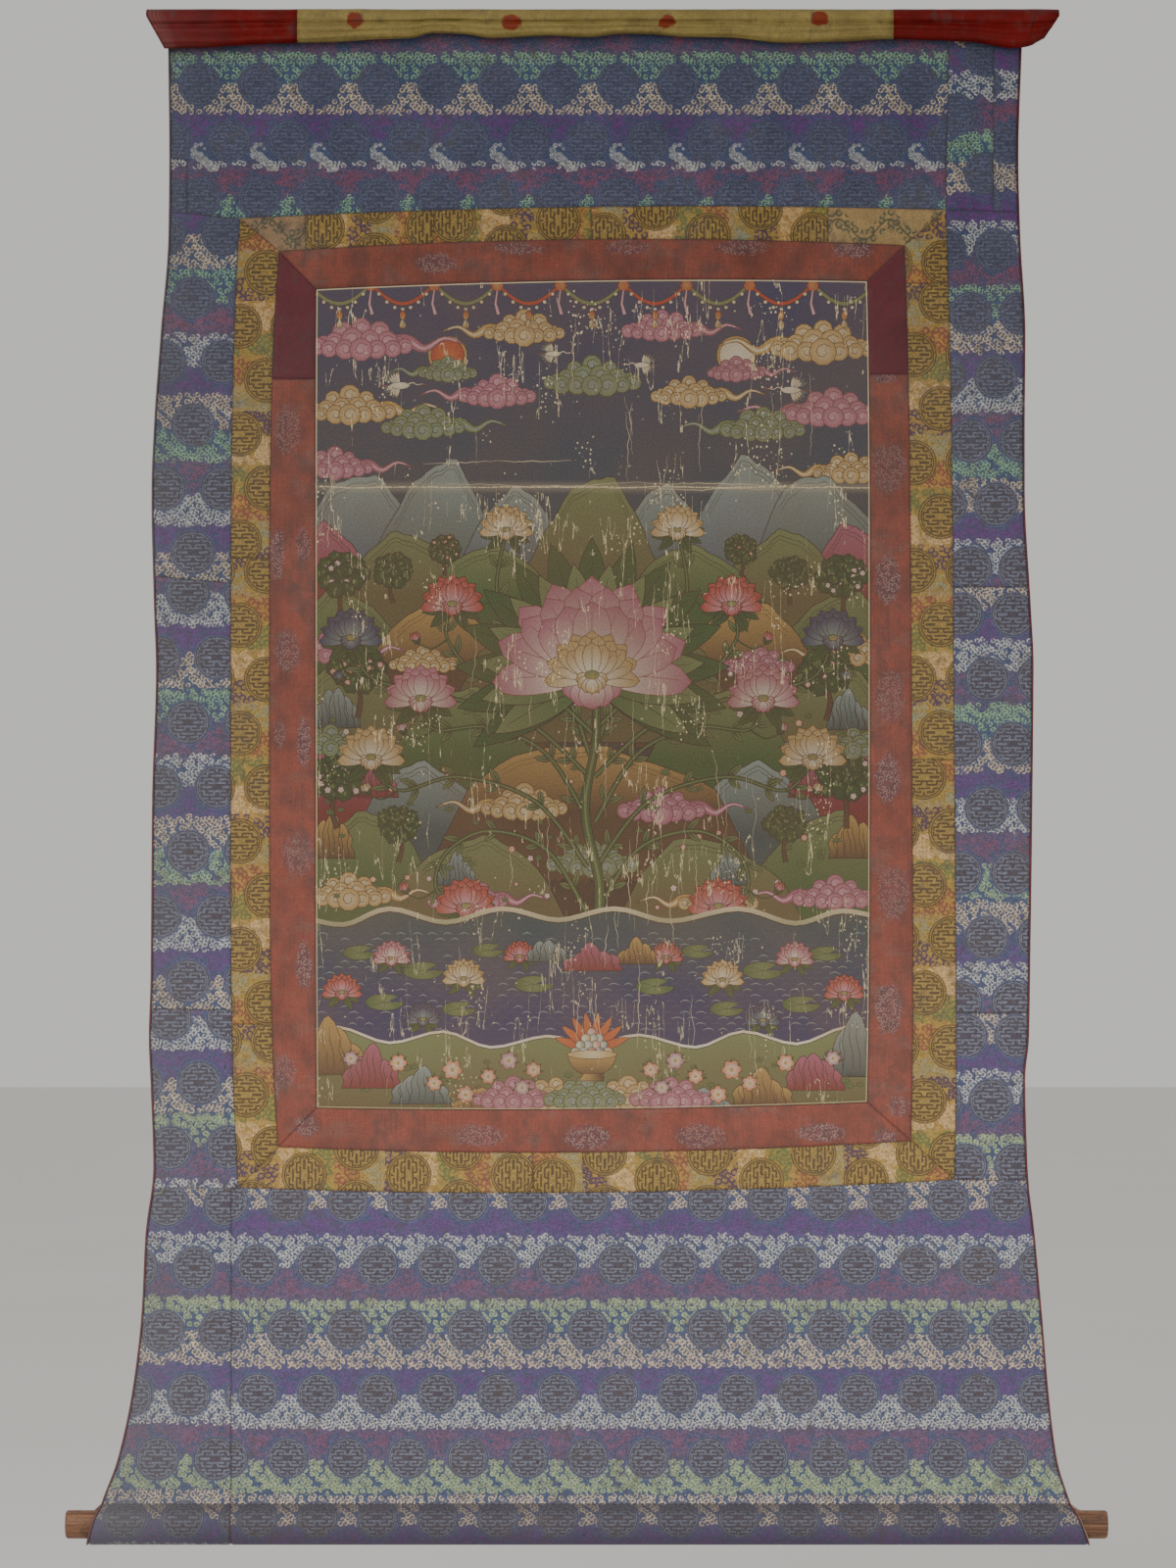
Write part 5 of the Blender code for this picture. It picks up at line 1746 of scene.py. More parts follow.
def add_canvas(material):
    piece = painting_cut()
    places, triangles, colours, outer, back, back_triangles, number, grid = canvas_mesh(piece, paint())
    used = np.unique(triangles)
    renumber = np.full(len(places), -1)
    renumber[used] = np.arange(len(used))
    points, cloth, rim = [], [], []
    for side, flat in ((0.0, places[used]), (1.0, back)):
        for place in flat:
            across, run = place.real * MM, (place.imag + PICTURE_TOP) * MM
            edge, along_edge = nearest_edge(piece, across, run)
            relief = seam_relief(max(edge, 0.0), along_edge)
            half = CANVAS_THICKNESS / 2.0 + relief * (0.5 if side else 1.0)
            point = cloth_point(across, run)
            point.y += half if side else -half
            points.append(tuple(point))
            cloth.append((across / MM, run / MM, side))
            rim.append((max(edge, 0.0) / MM, 0.0, 0.0))
    shift = len(used)
    front_faces = renumber[triangles].tolist()
    back_faces = (back_triangles[:, ::-1] + shift).tolist()
    walls = [
        (renumber[two], renumber[one], number[one] + shift, number[two] + shift)
        for one, two in outer.tolist()]
    mesh = bpy.data.meshes.new(piece.node)
    mesh.from_pydata(points, [], front_faces + back_faces + walls)
    add_attribute(mesh, "cloth", cloth)
    add_attribute(mesh, "rim", rim)
    plain = srgb(*PIGMENTS["cream"])[:3]
    corner_colours = colours.reshape(-1, 3).tolist()
    add_attribute(mesh, "paint", corner_colours + [plain] * (len(mesh.loops) - len(corner_colours)), "CORNER")
    made = add_piece(piece.node + "_cloth", mesh, material, piece.slot, piece.node)
    mesh.set_sharp_from_angle(angle=SHARP_ANGLE)
    width, length, area = flat_size(grid)


# Node trees.

def srgb(red, green, blue):
    """Turn a screen colour, 0 to 255, into the linear colour that shaders take."""
    def linear(value):
        value /= 255.0
        return value / 12.92 if value <= 0.04045 else ((value + 0.055) / 1.055) ** 2.4
    return (linear(red), linear(green), linear(blue), 1.0)


class Number:
    """A number that a material's nodes work out. It can stand in a sum as a plain number can."""

    def __init__(self, socket):
        self.socket = socket

    def __add__(self, other):
        return reckon("ADD", self, other)

    def __sub__(self, other):
        return reckon("SUBTRACT", self, other)

    def __rsub__(self, other):
        return reckon("SUBTRACT", other, self)

    def __mul__(self, other):
        return reckon("MULTIPLY", self, other)

    def __truediv__(self, other):
        return reckon("DIVIDE", self, other)

    def __gt__(self, other):
        return reckon("GREATER_THAN", self, other)

    def __lt__(self, other):
        return reckon("LESS_THAN", self, other)

    def __abs__(self):
        return reckon("ABSOLUTE", self)

    __radd__ = __add__
    __rmul__ = __mul__


def join(socket, value):
    """Feed a node's socket with another node's output, or set it to a plain value."""
    if isinstance(value, Number):
        value = value.socket
    if isinstance(value, bpy.types.NodeSocket):
        socket.id_data.links.new(value, socket)
    else:
        socket.default_value = value


def reckon(operation, *values):
    """Add one Math node."""
    tree = next(value.socket.id_data for value in values if isinstance(value, Number))
    node = tree.nodes.new("ShaderNodeMath")
    node.operation = operation
    for socket, value in zip(node.inputs, values):
        join(socket, value)
    return Number(node.outputs[0])


def larger(*values):
    result = values[0]
    for value in values[1:]:
        result = reckon("MAXIMUM", result, value)
    return result


def smaller(one, two):
    return reckon("MINIMUM", one, two)


def power(value, exponent):
    return reckon("POWER", value, exponent)


def near(value, middle, reach):
    """1 where a value is within reach of the middle, else 0."""
    return reckon("COMPARE", value, middle, reach)


def whole(value):
    return reckon("FLOOR", value)


def part_of(value):
    return reckon("FRACT", value)


def wave(value, length):
    return reckon("SINE", value * (2.0 * math.pi / length))


def distance(*values):
    total = sum(value * value for value in values)
    return reckon("SQRT", total)


def rising(value, low, high):
    """Rise smoothly from 0 at low to 1 at high, or fall where low is above high."""
    node = value.socket.id_data.nodes.new("ShaderNodeMapRange")
    node.interpolation_type = "SMOOTHSTEP"
    join(node.inputs["Value"], value)
    low, high, start, end = (low, high, 0.0, 1.0) if low < high else (high, low, 1.0, 0.0)
    for name, setting in [("From Min", low), ("From Max", high), ("To Min", start), ("To Max", end)]:
        join(node.inputs[name], setting)
    return Number(node.outputs["Result"])


def inside(value, low, high):
    return (value > low) * (value < high)


class Looks:
    """One material under construction."""

    def __init__(self, name):
        self.material = bpy.data.materials.new(name)
        self.material.use_nodes = True
        self.tree = self.material.node_tree
        self.shader = self.tree.nodes["Principled BSDF"]

    def node(self, kind, **settings):
        made = self.tree.nodes.new("ShaderNode" + kind)
        for name, value in settings.items():
            setattr(made, name, value)
        return made

    def attribute(self, name):
        """Read a vector that each point of the mesh carries, as three numbers."""
        return self.split(self.node("Attribute", attribute_name=name).outputs["Vector"])

    def split(self, vector):
        node = self.node("SeparateXYZ")
        join(node.inputs[0], vector)
        return [Number(output) for output in node.outputs]

    def vector(self, x, y, z=0.0):
        node = self.node("CombineXYZ")
        for socket, value in zip(node.inputs, (x, y, z)):
            join(socket, value)
        return node.outputs[0]

    def noise(self, x, y, z=0.0, detail=2.0):
        """Soft noise from 0 to 1 over coordinates that already have its scale."""
        node = self.node("TexNoise")
        join(node.inputs["Vector"], self.vector(x, y, z))
        node.inputs["Scale"].default_value = 1.0
        node.inputs["Detail"].default_value = detail
        return Number(node.outputs["Fac"])

    def random(self, x, y, z=0.0):
        node = self.node("TexWhiteNoise")
        join(node.inputs["Vector"], self.vector(x, y, z))
        return Number(node.outputs["Value"])

    def cells(self, x, y, randomness=1.0):
        """Scattered cells one unit apart: the distance from the nearest one's middle, and its middle."""
        node = self.node("TexVoronoi", voronoi_dimensions="2D")
        join(node.inputs["Vector"], self.vector(x, y))
        node.inputs["Scale"].default_value = 1.0
        node.inputs["Randomness"].default_value = randomness
        middle_x, middle_y, _ = self.split(node.outputs["Position"])
        return Number(node.outputs["Distance"]), middle_x, middle_y

    def mix(self, share, under, over, blend="MIX"):
        node = self.node("Mix", data_type="RGBA", blend_type=blend)
        for index, value in zip((0, 6, 7), (share, under, over)):
            join(node.inputs[index], value)
        return node.outputs[2]

    def shade(self, colour, level):
        """Scale a colour's brightness by a number."""
        return self.mix(1.0, colour, self.vector(level, level, level), "MULTIPLY")

    def ramp(self, value, stops, interpolation):
        """A colour for each value, from pairs of place and colour."""
        node = self.node("ValToRGB")
        node.color_ramp.interpolation = interpolation
        elements = node.color_ramp.elements
        elements.remove(elements[-1])
        elements[0].position, elements[0].color = stops[0]
        for place, colour in stops[1:]:
            elements.new(place).color = colour
        join(node.inputs[0], value)
        return node.outputs["Color"]

    def finish(self, colour, height, height_scale, **settings):
        """Give the shader its colour, its bump and its plain settings."""
        bump = self.node("Bump")
        bump.inputs["Distance"].default_value = height_scale
        bump.inputs["Strength"].default_value = 1.0
        join(bump.inputs["Height"], height)
        join(self.shader.inputs["Normal"], bump.outputs["Normal"])
        join(self.shader.inputs["Base Color"], colour)
        for name, value in settings.items():
            join(self.shader.inputs[name.replace("_", " ")], value)
        return self.material


# Brocade.

# A light line in a quarter of the roundel, in shares of its radius: whether it is level, where it lies, and
# where it starts and ends. All lengths in the materials are in millimetres.
Stroke = namedtuple("Stroke", "level at start end")
STROKES = [
    Stroke(True, 0.87, 0.0, 0.40),
    Stroke(True, 0.70, 0.12, 0.64),
    Stroke(True, 0.53, 0.0, 0.30),
    Stroke(True, 0.53, 0.44, 0.78),
    Stroke(True, 0.36, 0.13, 0.60),
    Stroke(True, 0.36, 0.74, 0.92),
    Stroke(True, 0.19, 0.0, 0.42),
    Stroke(True, 0.19, 0.56, 0.94),
    Stroke(True, 0.02, 0.26, 0.72),
    Stroke(False, 0.0, 0.70, 0.87),
    Stroke(False, 0.13, 0.19, 0.36),
    Stroke(False, 0.44, 0.53, 0.70),
    Stroke(False, 0.60, 0.19, 0.36),
    Stroke(False, 0.82, 0.02, 0.19),
]
STROKE_REACH = 0.042

# A band of the colour cycle: where it ends, its middle, how far its cloud curls reach from that (0 for none),
# the curls' colour, how full they are, and the ground's tint.
Band = namedtuple("Band", "end middle reach curl fullness tint")
WHITE_MIDDLE = 0.17
GREEN_MIDDLE = 0.575
SAME_BAND = 0.02                # two middles this near are the same band's
# A roundel is dark with light lines, or light with dark ones. Veiled is how far the topmost ones sink into
# the ground, and yellowed how far the lowest green curls turn yellow and fill.
Palette = namedtuple("Palette", "ground field lines halo veiled yellowed curl_size bands reverse")
NO_CURLS = srgb(0, 0, 0)
SLEEVE_SHADE = srgb(50, 45, 52)
# The hem thread's colour, also used for the painted shadow below its stitches.
HEM_THREAD_AND_SHADOW = srgb(44, 38, 42)
BLUE = Palette(
    ground=srgb(70, 78, 108), field=srgb(72, 66, 76), lines=srgb(106, 110, 126), halo=srgb(80, 90, 122),
    veiled=0.6, yellowed=0.6, curl_size=5.4,
    bands=[
        Band(0.05, 0.0, 0.0, NO_CURLS, 0.0, srgb(104, 42, 116)),
        Band(0.3, WHITE_MIDDLE, 0.1, srgb(186, 186, 178), 0.12, srgb(64, 80, 112)),
        Band(0.45, 0.37, 0.0, NO_CURLS, 0.0, srgb(130, 68, 90)),
        Band(0.6825, GREEN_MIDDLE, 0.1, srgb(132, 170, 132), 0.12, srgb(64, 86, 112)),
        Band(0.92, 0.79, 0.105, srgb(200, 180, 150), 0.12, srgb(68, 82, 110)),
        Band(1.0, 1.0, 0.0, NO_CURLS, 0.0, srgb(104, 42, 116)),
    ],
    reverse=srgb(84, 84, 96))
YELLOW_SILK = Palette(
    ground=srgb(162, 130, 54), field=srgb(152, 124, 60), lines=srgb(88, 66, 38), halo=srgb(94, 72, 38),
    veiled=0.0, yellowed=0.0, curl_size=7.4,
    bands=[
        Band(0.085, 0.0, 0.095, srgb(72, 48, 78), 0.3, srgb(172, 134, 66)),
        Band(0.27, 0.17, 0.0, NO_CURLS, 0.0, srgb(126, 138, 120)),
        Band(0.4725, 0.37, 0.095, srgb(134, 74, 56), 0.2, srgb(186, 120, 62)),
        Band(0.6825, 0.575, 0.09, srgb(98, 108, 60), 0.35, srgb(146, 132, 66)),
        Band(0.895, 0.79, 0.1, srgb(200, 164, 112), 0.6, srgb(184, 138, 88)),
        Band(1.0, 1.0, 0.095, srgb(72, 48, 78), 0.3, srgb(172, 134, 66)),
    ],
    reverse=srgb(130, 104, 62))
YELLOWED_GREEN = srgb(172, 174, 124)
# A woven bat is a chain of discs, from its hooked head to its tail, placed from the gap between two roundels.
Disc = namedtuple("Disc", "across below reach")
BAT = [
    Disc(4.6, 6.4, 1.5), Disc(1.6, 2.8, 1.8), Disc(-2.6, 3.6, 2.3), Disc(-5.2, 7.4, 2.8),
    Disc(-4.0, 12.0, 3.8), Disc(0.4, 13.8, 4.6), Disc(4.4, 17.0, 4.2), Disc(8.0, 20.8, 3.8),
    Disc(11.2, 25.0, 4.2), Disc(15.4, 24.0, 2.4),
]
FIRST_ROUNDELS = 20.0           # no roundels are woven above this run


def roundel_light(x, y):
    """1 on the light lines of the roundel, for a place across and down in shares of its radius."""
    lines = []
    for stroke in STROKES:
        along_line, beside = (x, y) if stroke.level else (y, x)
        line = near(beside, stroke.at, STROKE_REACH)
        line *= near(along_line, (stroke.start + stroke.end) / 2.0, (stroke.end - stroke.start) / 2.0)
        lines.append(line)
    return larger(*lines)


def curl_lines(looks, x, y, size, randomness):
    """Small open rings: 1 on their lines, 1 inside them, and each one's middle."""
    gap, cell_x, cell_y = looks.cells(x / size, y / size, randomness)
    cell_x, cell_y = cell_x * size, cell_y * size
    turn = looks.random(cell_x, cell_y) * 6.28
    lean = (x - cell_x) * reckon("COSINE", turn) + (y - cell_y) * reckon("SINE", turn)
    line = near(gap, 0.34, 0.1) * (lean < size * 0.24)
    return line, gap < 0.46, cell_x, cell_y


# Where a place lies in the weave: its pitches across, its rows down, the direction of its colour cycle, the
# roundels' radius, its pitch and its row's height. And what its band of the cycle gives it.
Weave = namedtuple("Weave", "u v direction roundel pitch row_height")
Layout = namedtuple("Layout", "off_middle middle reach fullness")


def read_weave(looks):
    """The place in the weave, and the place in the cycle of colours before its edges waver."""
    u, v, signed_radius = looks.attribute("weave")
    pitch, row_height, band = looks.attribute("size")
    roundel = abs(signed_radius)
    return Weave(u, v, signed_radius / roundel, roundel, pitch, row_height), band


def cycle_ramp(looks, cycle, bands, values):
    """Give each band of the cycle its own value, with hard edges."""
    starts = [0.0] + [band.end for band in bands[:-1]]
    return looks.ramp(cycle, list(zip(starts, values)), "CONSTANT")


def brocade_curls(looks, palette, weave, layout, bats):
    """The cloud curls, by the row that is nearest to the middle of their band, and the bats among them."""
    curl_row = whole(weave.v - layout.off_middle * weave.direction * ROWS_PER_CYCLE + 0.5)
    curl_x = (part_of(weave.u + curl_row * 0.5) - 0.5) * weave.pitch
    curl_y = (weave.v - curl_row) * weave.row_height
    white_band = near(layout.middle, WHITE_MIDDLE, SAME_BAND) if bats else 0.0

    def layer_of_curls(shift, missing):
        line, core, cell_x, cell_y = curl_lines(looks, curl_x + shift, curl_y + shift, palette.curl_size, 0.7)
        cell_x, cell_y = cell_x - shift, cell_y - shift
        cycle_height = weave.row_height * ROWS_PER_CYCLE
        cell_off = layout.off_middle + (cell_y - curl_y) * weave.direction / cycle_height
        cluster = abs(cell_x) < abs(cell_y) * 0.95 + 5.0
        if bats:
            cluster = cluster - white_band * (cell_y < weave.roundel)
        reached = abs(cell_off) < layout.reach
        chosen = looks.random(cell_x, cell_y, shift) > missing
        return larger(line, core * layout.fullness) * reached * (cluster > 0.5) * chosen
    first_shift = layout.middle * 400.0
    second_shift = first_shift + palette.curl_size * 0.45
    curl = larger(layer_of_curls(first_shift, 0.05), layer_of_curls(second_shift, 0.3))
    if bats:
        feathers, _, _, _ = curl_lines(looks, curl_x, curl_y, 3.4, 0.6)
        body = larger(*[distance(curl_x - disc.across, curl_y - disc.below) < disc.reach for disc in BAT])
        curl = larger(curl, body * white_band * (feathers * 0.5 + 0.4))
    return curl


def sewn_sleeve(looks, colour, across, run):
    """Darken the roller's sleeve, paint a shadow below its stitches, and stitch it along its top. Gives the
    stitches too.
    """
    stitch_run = STITCH_RUN / MM
    sleeve = run > stitch_run
    shadow = rising(run, stitch_run + 16.0, stitch_run) * sleeve
    stitches = near(run, stitch_run, 0.8) * (part_of(across / 6.0) < 0.6)
    colour = looks.mix(sleeve * 0.45, colour, SLEEVE_SHADE)
    # Painted shadow below the stitch line, and the stitches, both in the hem thread's dark colour.
    return looks.mix(larger(shadow * 0.5, stitches * 0.8), colour, HEM_THREAD_AND_SHADOW), stitches


def brocade(name, palette, bats=False):
    """Half-dropped rows of roundels, crossed by bands of cloud curls and tinted ground in a longer cycle.

    Where there are bats, they hang in the gaps of the white band, over a thin row of curls.
    """
    looks = Looks(name)
    across, run, side = looks.attribute("cloth")
    weave, band = read_weave(looks)
    cycle = part_of(band + (looks.noise(across / 15.0, run / 15.0) - 0.5) * 0.04)
    bands = palette.bands
    middle, reach, fullness = looks.split(cycle_ramp(
        looks, cycle, bands, [(band.middle, band.reach, band.fullness, 1.0) for band in bands]))
    low_green = near(middle, GREEN_MIDDLE, SAME_BAND) * rising(run, 500.0, 1000.0) * palette.yellowed
    layout = Layout(cycle - middle, middle, reach, fullness + low_green * 0.5)
    curl = brocade_curls(looks, palette, weave, layout, bats)
    curl_colour = cycle_ramp(looks, cycle, bands, [band.curl for band in bands])
    curl_colour = looks.mix(low_green, curl_colour, YELLOWED_GREEN)

    # The roundels, by the row that is nearest.
    row = whole(weave.v + 0.5)
    x = (part_of(weave.u + row * 0.5 + 0.5) - 0.5) * weave.pitch
    y = (weave.v - row) * weave.row_height
    radius = distance(x, y) / weave.roundel
    light = roundel_light(abs(x) / weave.roundel, abs(y) / weave.roundel)
    light = larger(light * (radius < 0.86), near(radius, 0.92, 0.03))

    # The ground, tinted in patches and speckled thread by thread, most between the roundels.
    speckle = looks.random(whole(across / 1.1), whole(run / 1.0))
    patch = looks.noise(across / 9.0, run / 6.0, detail=4.0)
    share = rising(patch + speckle * 0.3 + smaller(radius, 1.6) * 0.3, 0.92, 1.16)
    tint = looks.ramp(cycle, [(band.middle, band.tint) for band in bands], "EASE")
    ground = looks.mix(share * (0.78 - rising(run, 300.0, 900.0) * 0.22), palette.ground, tint)
    ground = looks.mix(curl * (speckle * 0.35 + 0.75), ground, curl_colour)
    veiled = rising(run, 500.0, 80.0) * palette.veiled
    figure = looks.mix(light * (speckle * 0.4 + 0.8), palette.field, palette.lines)
    figure = looks.mix(veiled, figure, palette.ground)
    shown = run - y > FIRST_ROUNDELS
    ground = looks.mix(near(radius, 1.03, 0.04) * shown * (0.8 - veiled), ground, palette.halo)
    ground = looks.mix((radius < 1.0) * shown, ground, figure)
    streaks = looks.noise(across / 9.0, run / 0.9, detail=3.0)
    colour = looks.shade(ground, streaks * 0.6 + speckle * 0.6 + 0.4)
    colour, hem_stitches = sewn_sleeve(looks, colour, across, run)
    colour = looks.mix(side * 0.6, colour, palette.reverse)
    raised = curl * (radius > 1.07) + (radius < 1.0) * (light * -1.0 + 1.0) * 0.7 - hem_stitches
    height = raised * 0.5 + streaks * 0.35 + speckle * 0.4
    return looks.finish(aged_and_shaded(looks, colour), height, 0.25 * MM, Roughness=0.65, Specular_IOR_Level=0.2)


def aged_and_shaded(looks, colour):
    """Wear, dirt and painted shade: the top painted darker as shade, blotches, specks, a greyed left side, and
    painted shadow with dirt along the seams.
    """
    across, run, _ = looks.attribute("cloth")
    edge, along_edge, _ = looks.attribute("rim")
    blotch = looks.noise(across / 60.0, run / 60.0, detail=4.0)
    fine = looks.noise(across / 9.0, run / 12.0, 4.0, detail=4.0)
    colour = looks.mix(rising(run + blotch * 200.0, 180.0, 460.0) * 0.13, colour, srgb(118, 112, 110))
    colour = looks.mix(rising(fine + blotch, 1.0, 1.35) * 0.5, colour, srgb(78, 70, 66))
    fade = rising(across + blotch * 160.0, -230.0, -370.0) * 0.35
    colour = looks.mix(fade, colour, srgb(104, 102, 101))
    # Painted shade: darker towards the top and lighter towards the bottom.
    painted_light_below = rising(run, -150.0, 1250.0)
    colour = looks.shade(colour, blotch * 0.4 + painted_light_below * 0.58 + 0.22)
    fleck, cell_x, cell_y = looks.cells(across / 26.0, run / 26.0)
    chance = looks.random(cell_x, cell_y)
    specks = (fleck + fine * 0.08 < chance * 0.075) * (chance > 0.7)
    colour = looks.mix(specks * 0.55, colour, srgb(48, 36, 34))
    stitch = near(edge, 1.2, 0.3) * (part_of(along_edge / 4.2) < 0.3)
    colour = looks.mix(stitch * 0.35, colour, srgb(48, 36, 38))
    # Painted shadow with dirt: a dark line along the seams.
    return looks.mix(rising(edge, 0.9, 0.1) * 0.6, colour, srgb(40, 30, 32))


# A woven cloud on the red silk, in millimetres: its middle across and down, half its width and height, and
# how clear it is.
Motif = namedtuple("Motif", "across run wide tall clear")
MOTIFS = [
    Motif(32.0, 204.0, 22.0, 7.5, 0.8), Motif(133.0, 204.0, 26.0, 7.5, 0.8),
    Motif(231.0, 206.0, 19.0, 8.0, 1.0), Motif(-65.0, 205.0, 25.0, 6.0, 0.8),
    Motif(-138.0, 218.0, 20.0, 10.0, 0.9), Motif(-99.0, 993.0, 23.0, 11.0, 0.7),
    Motif(-4.0, 994.0, 22.0, 12.0, 1.0), Motif(97.0, 993.0, 24.0, 12.0, 0.7),
    Motif(203.0, 990.0, 24.0, 9.0, 1.0), Motif(-254.0, 984.0, 12.0, 10.0, 0.8),
    Motif(-282.0, 952.0, 5.0, 15.0, 0.8), Motif(-269.7, 366.0, 13.0, 24.0, 0.6),
    Motif(-279.0, 476.0, 7.0, 24.0, 0.9), Motif(-256.0, 469.0, 7.0, 18.0, 0.8),
    Motif(-269.7, 564.0, 13.0, 19.0, 0.7), Motif(-255.6, 643.5, 7.0, 24.0, 1.0),
    Motif(-277.0, 636.5, 6.0, 14.0, 0.6), Motif(-260.0, 743.6, 15.0, 20.0, 0.6),
    Motif(-255.6, 841.5, 8.0, 24.0, 1.0), Motif(-272.0, 934.6, 10.0, 17.0, 0.6),
    Motif(260.0, 320.0, 12.0, 5.0, 0.9), Motif(264.0, 399.4, 17.0, 24.0, 0.6),
    Motif(262.5, 498.9, 12.5, 24.0, 1.0), Motif(265.0, 602.3, 15.5, 24.0, 0.6),
    Motif(262.5, 675.4, 12.5, 24.0, 1.0), Motif(267.4, 777.3, 15.5, 25.0, 0.6),
    Motif(263.5, 880.2, 13.0, 25.0, 1.0), Motif(272.4, 966.2, 11.0, 11.0, 0.7),
    Motif(260.0, 993.5, 12.0, 7.0, 1.0),
]


def red_silk(name):
    """Figured red silk, rubbed to a speckled grey in places, with dull woven clouds."""
    looks = Looks(name)
    across, run, _ = looks.attribute("cloth")
    speckle = looks.random(whole(across / 0.9), whole(run / 0.9))
    warp = looks.noise(across / 0.9, run / 40.0, detail=3.0)
    weft = looks.noise(across / 30.0, run / 1.0, 2.0, detail=3.0)
    cloud = looks.noise(across / 18.0, run / 26.0, 7.0, detail=5.0)
    colour = looks.mix(rising(cloud + weft * 0.3, 0.5, 0.85), srgb(140, 72, 56), srgb(114, 65, 54))
    colour = looks.shade(colour, warp * 0.6 + weft * 0.5 + speckle * 0.3 + 0.3)
    rubbed = rising(looks.noise(across / 34.0, run / 20.0, 1.0, detail=5.0) + weft * 0.2, 0.64, 0.76)
    colour = looks.mix(rubbed * (speckle * 0.4 + 0.1), colour, srgb(122, 94, 84))
    ragged = looks.noise(across / 5.0, run / 5.0, 5.0, detail=3.0) * 0.9
    woven = []
    for motif in MOTIFS:
        off = distance((across - motif.across) / motif.wide, (run - motif.run) / motif.tall)
        woven.append(rising(off + ragged, 1.5, 1.15) * motif.clear)
    motif = larger(*woven)
    first_lines, _, _, _ = curl_lines(looks, across, run, 4.6, 0.8)
    second_lines, _, _, _ = curl_lines(looks, across + 2.0, run + 1.5, 5.4, 0.8)
    colour = looks.mix(motif * (speckle * 0.5 + 0.35), colour, srgb(112, 78, 82))
    colour = looks.mix(motif * second_lines * 0.6, colour, srgb(66, 50, 60))
    colour = looks.mix(motif * first_lines * (speckle * 0.5 + cloud * 0.6), colour, srgb(172, 144, 128))
    height = warp + weft + speckle * 0.4 + motif * first_lines * 0.4
    return looks.finish(aged_and_shaded(looks, colour), height, 0.18 * MM, Roughness=0.65, Specular_IOR_Level=0.15)


def vine_silk(name):
    """Pale silk with a dark scrolling vine."""
    looks = Looks(name)
    across, run, _ = looks.attribute("cloth")
    speckle = looks.random(whole(across / 0.9), whole(run / 0.9))
    cloud = looks.noise(across / 16.0, run / 16.0, 2.0, detail=4.0)
    pinkish = looks.mix(cloud, srgb(158, 128, 82), srgb(152, 120, 98))
    golden = looks.mix(cloud, srgb(178, 148, 92), srgb(164, 132, 88))
    colour = looks.mix(across > 0.0, pinkish, golden)
    level = run - 188.0 - wave(across, 46.0) * 9.0
    stem = near(level, 0.0, 0.9)
    beside = near(level, 0.0, 8.5)
    line, core, _, _ = curl_lines(looks, across, run, 7.5, 0.5)
    colour = looks.mix(larger(stem, line * beside) * 0.8, colour, srgb(58, 66, 52))
    colour = looks.mix(core * beside * 0.35, colour, srgb(96, 104, 78))
    colour = looks.shade(colour, speckle * 0.4 + 0.75)
    return looks.finish(aged_and_shaded(looks, colour), speckle + line, 0.2 * MM, Roughness=0.65, Specular_IOR_Level=0.2)


# The veil's dyed spots, and the folds and creases where light and shade are painted, in millimetres across and
# along its roll.
SPOT_COLOUR = srgb(136, 34, 22)
SPOT_RUN = 55.0
SPOT_HEIGHT = 9.0
Spot = namedtuple("Spot", "across reach")
VEIL_SPOTS = [Spot(-210.0, 7.5), Spot(-71.0, 9.5), Spot(66.5, 8.2), Spot(201.5, 8.2)]
LEFT_FOLDS = -374.0
RIGHT_FOLD = 392.4
# The edge bindings are faded at the left above this run, and piped with cream at the right below the other.
FADED_ABOVE = 500.0
CREAM_BELOW = 1037.0


def threads_and_specks(looks, colour, streak_colour):
    """Plain silk with slubs along its threads: its colour and its relief."""
    across, run, _ = looks.attribute("cloth")
    threads = looks.noise(across / 0.9, run / 40.0, detail=3.0)
    cloud = looks.noise(across / 30.0, run / 45.0, 7.0, detail=4.0)
    made = looks.mix(rising(threads * 0.5 + cloud * 0.8, 0.5, 0.85) * 0.8, colour, streak_colour)
    speckle = looks.random(whole(across / 0.9), whole(run / 0.9))
    made = looks.shade(made, speckle * 0.35 + threads * 0.4 + 0.62)
    return made, threads + looks.noise(across / 0.6, run / 0.6) * 0.5


def plain_silk(name, colour, streak_colour):
    looks = Looks(name)
    made, height = threads_and_specks(looks, colour, streak_colour)
    return looks.finish(aged_and_shaded(looks, made), height, 0.15 * MM, Roughness=0.6, Specular_IOR_Level=0.15)


def veil_silk(name, colour, streak_colour, spots=()):
    """Thin plain silk, with dyed spots on the yellow length, and painted light and shade of folds at the red
    ends.
    """
    looks = Looks(name)
    across, run, _ = looks.attribute("cloth")
    made, height = threads_and_specks(looks, colour, streak_colour)
    ragged = looks.noise(across / 4.0, run / 4.0, detail=2.0) * 0.5
    for spot in spots:
        off = distance((across - spot.across) / spot.reach, (run - SPOT_RUN) / SPOT_HEIGHT)
        made = looks.mix(rising(off + ragged, 1.35, 1.05) * 0.9, made, SPOT_COLOUR)
    # Painted highlights: paler stripes on the pleats at the left end.
    pleats = rising(looks.noise(across / 3.0, 0.0, 4.0), 0.4, 0.6)
    pale = rising(across, LEFT_FOLDS, LEFT_FOLDS - 12.0) * pleats
    made = looks.mix(pale * 0.6, made, srgb(156, 88, 80))
    # Painted shadow: a dark line in the fold at the right end.
    made = looks.mix(near(across + ragged, RIGHT_FOLD, 0.7) * 0.6, made, srgb(60, 20, 18))
    return looks.finish(aged_and_shaded(looks, made), height, 0.15 * MM, Roughness=0.6, Specular_IOR_Level=0.1)


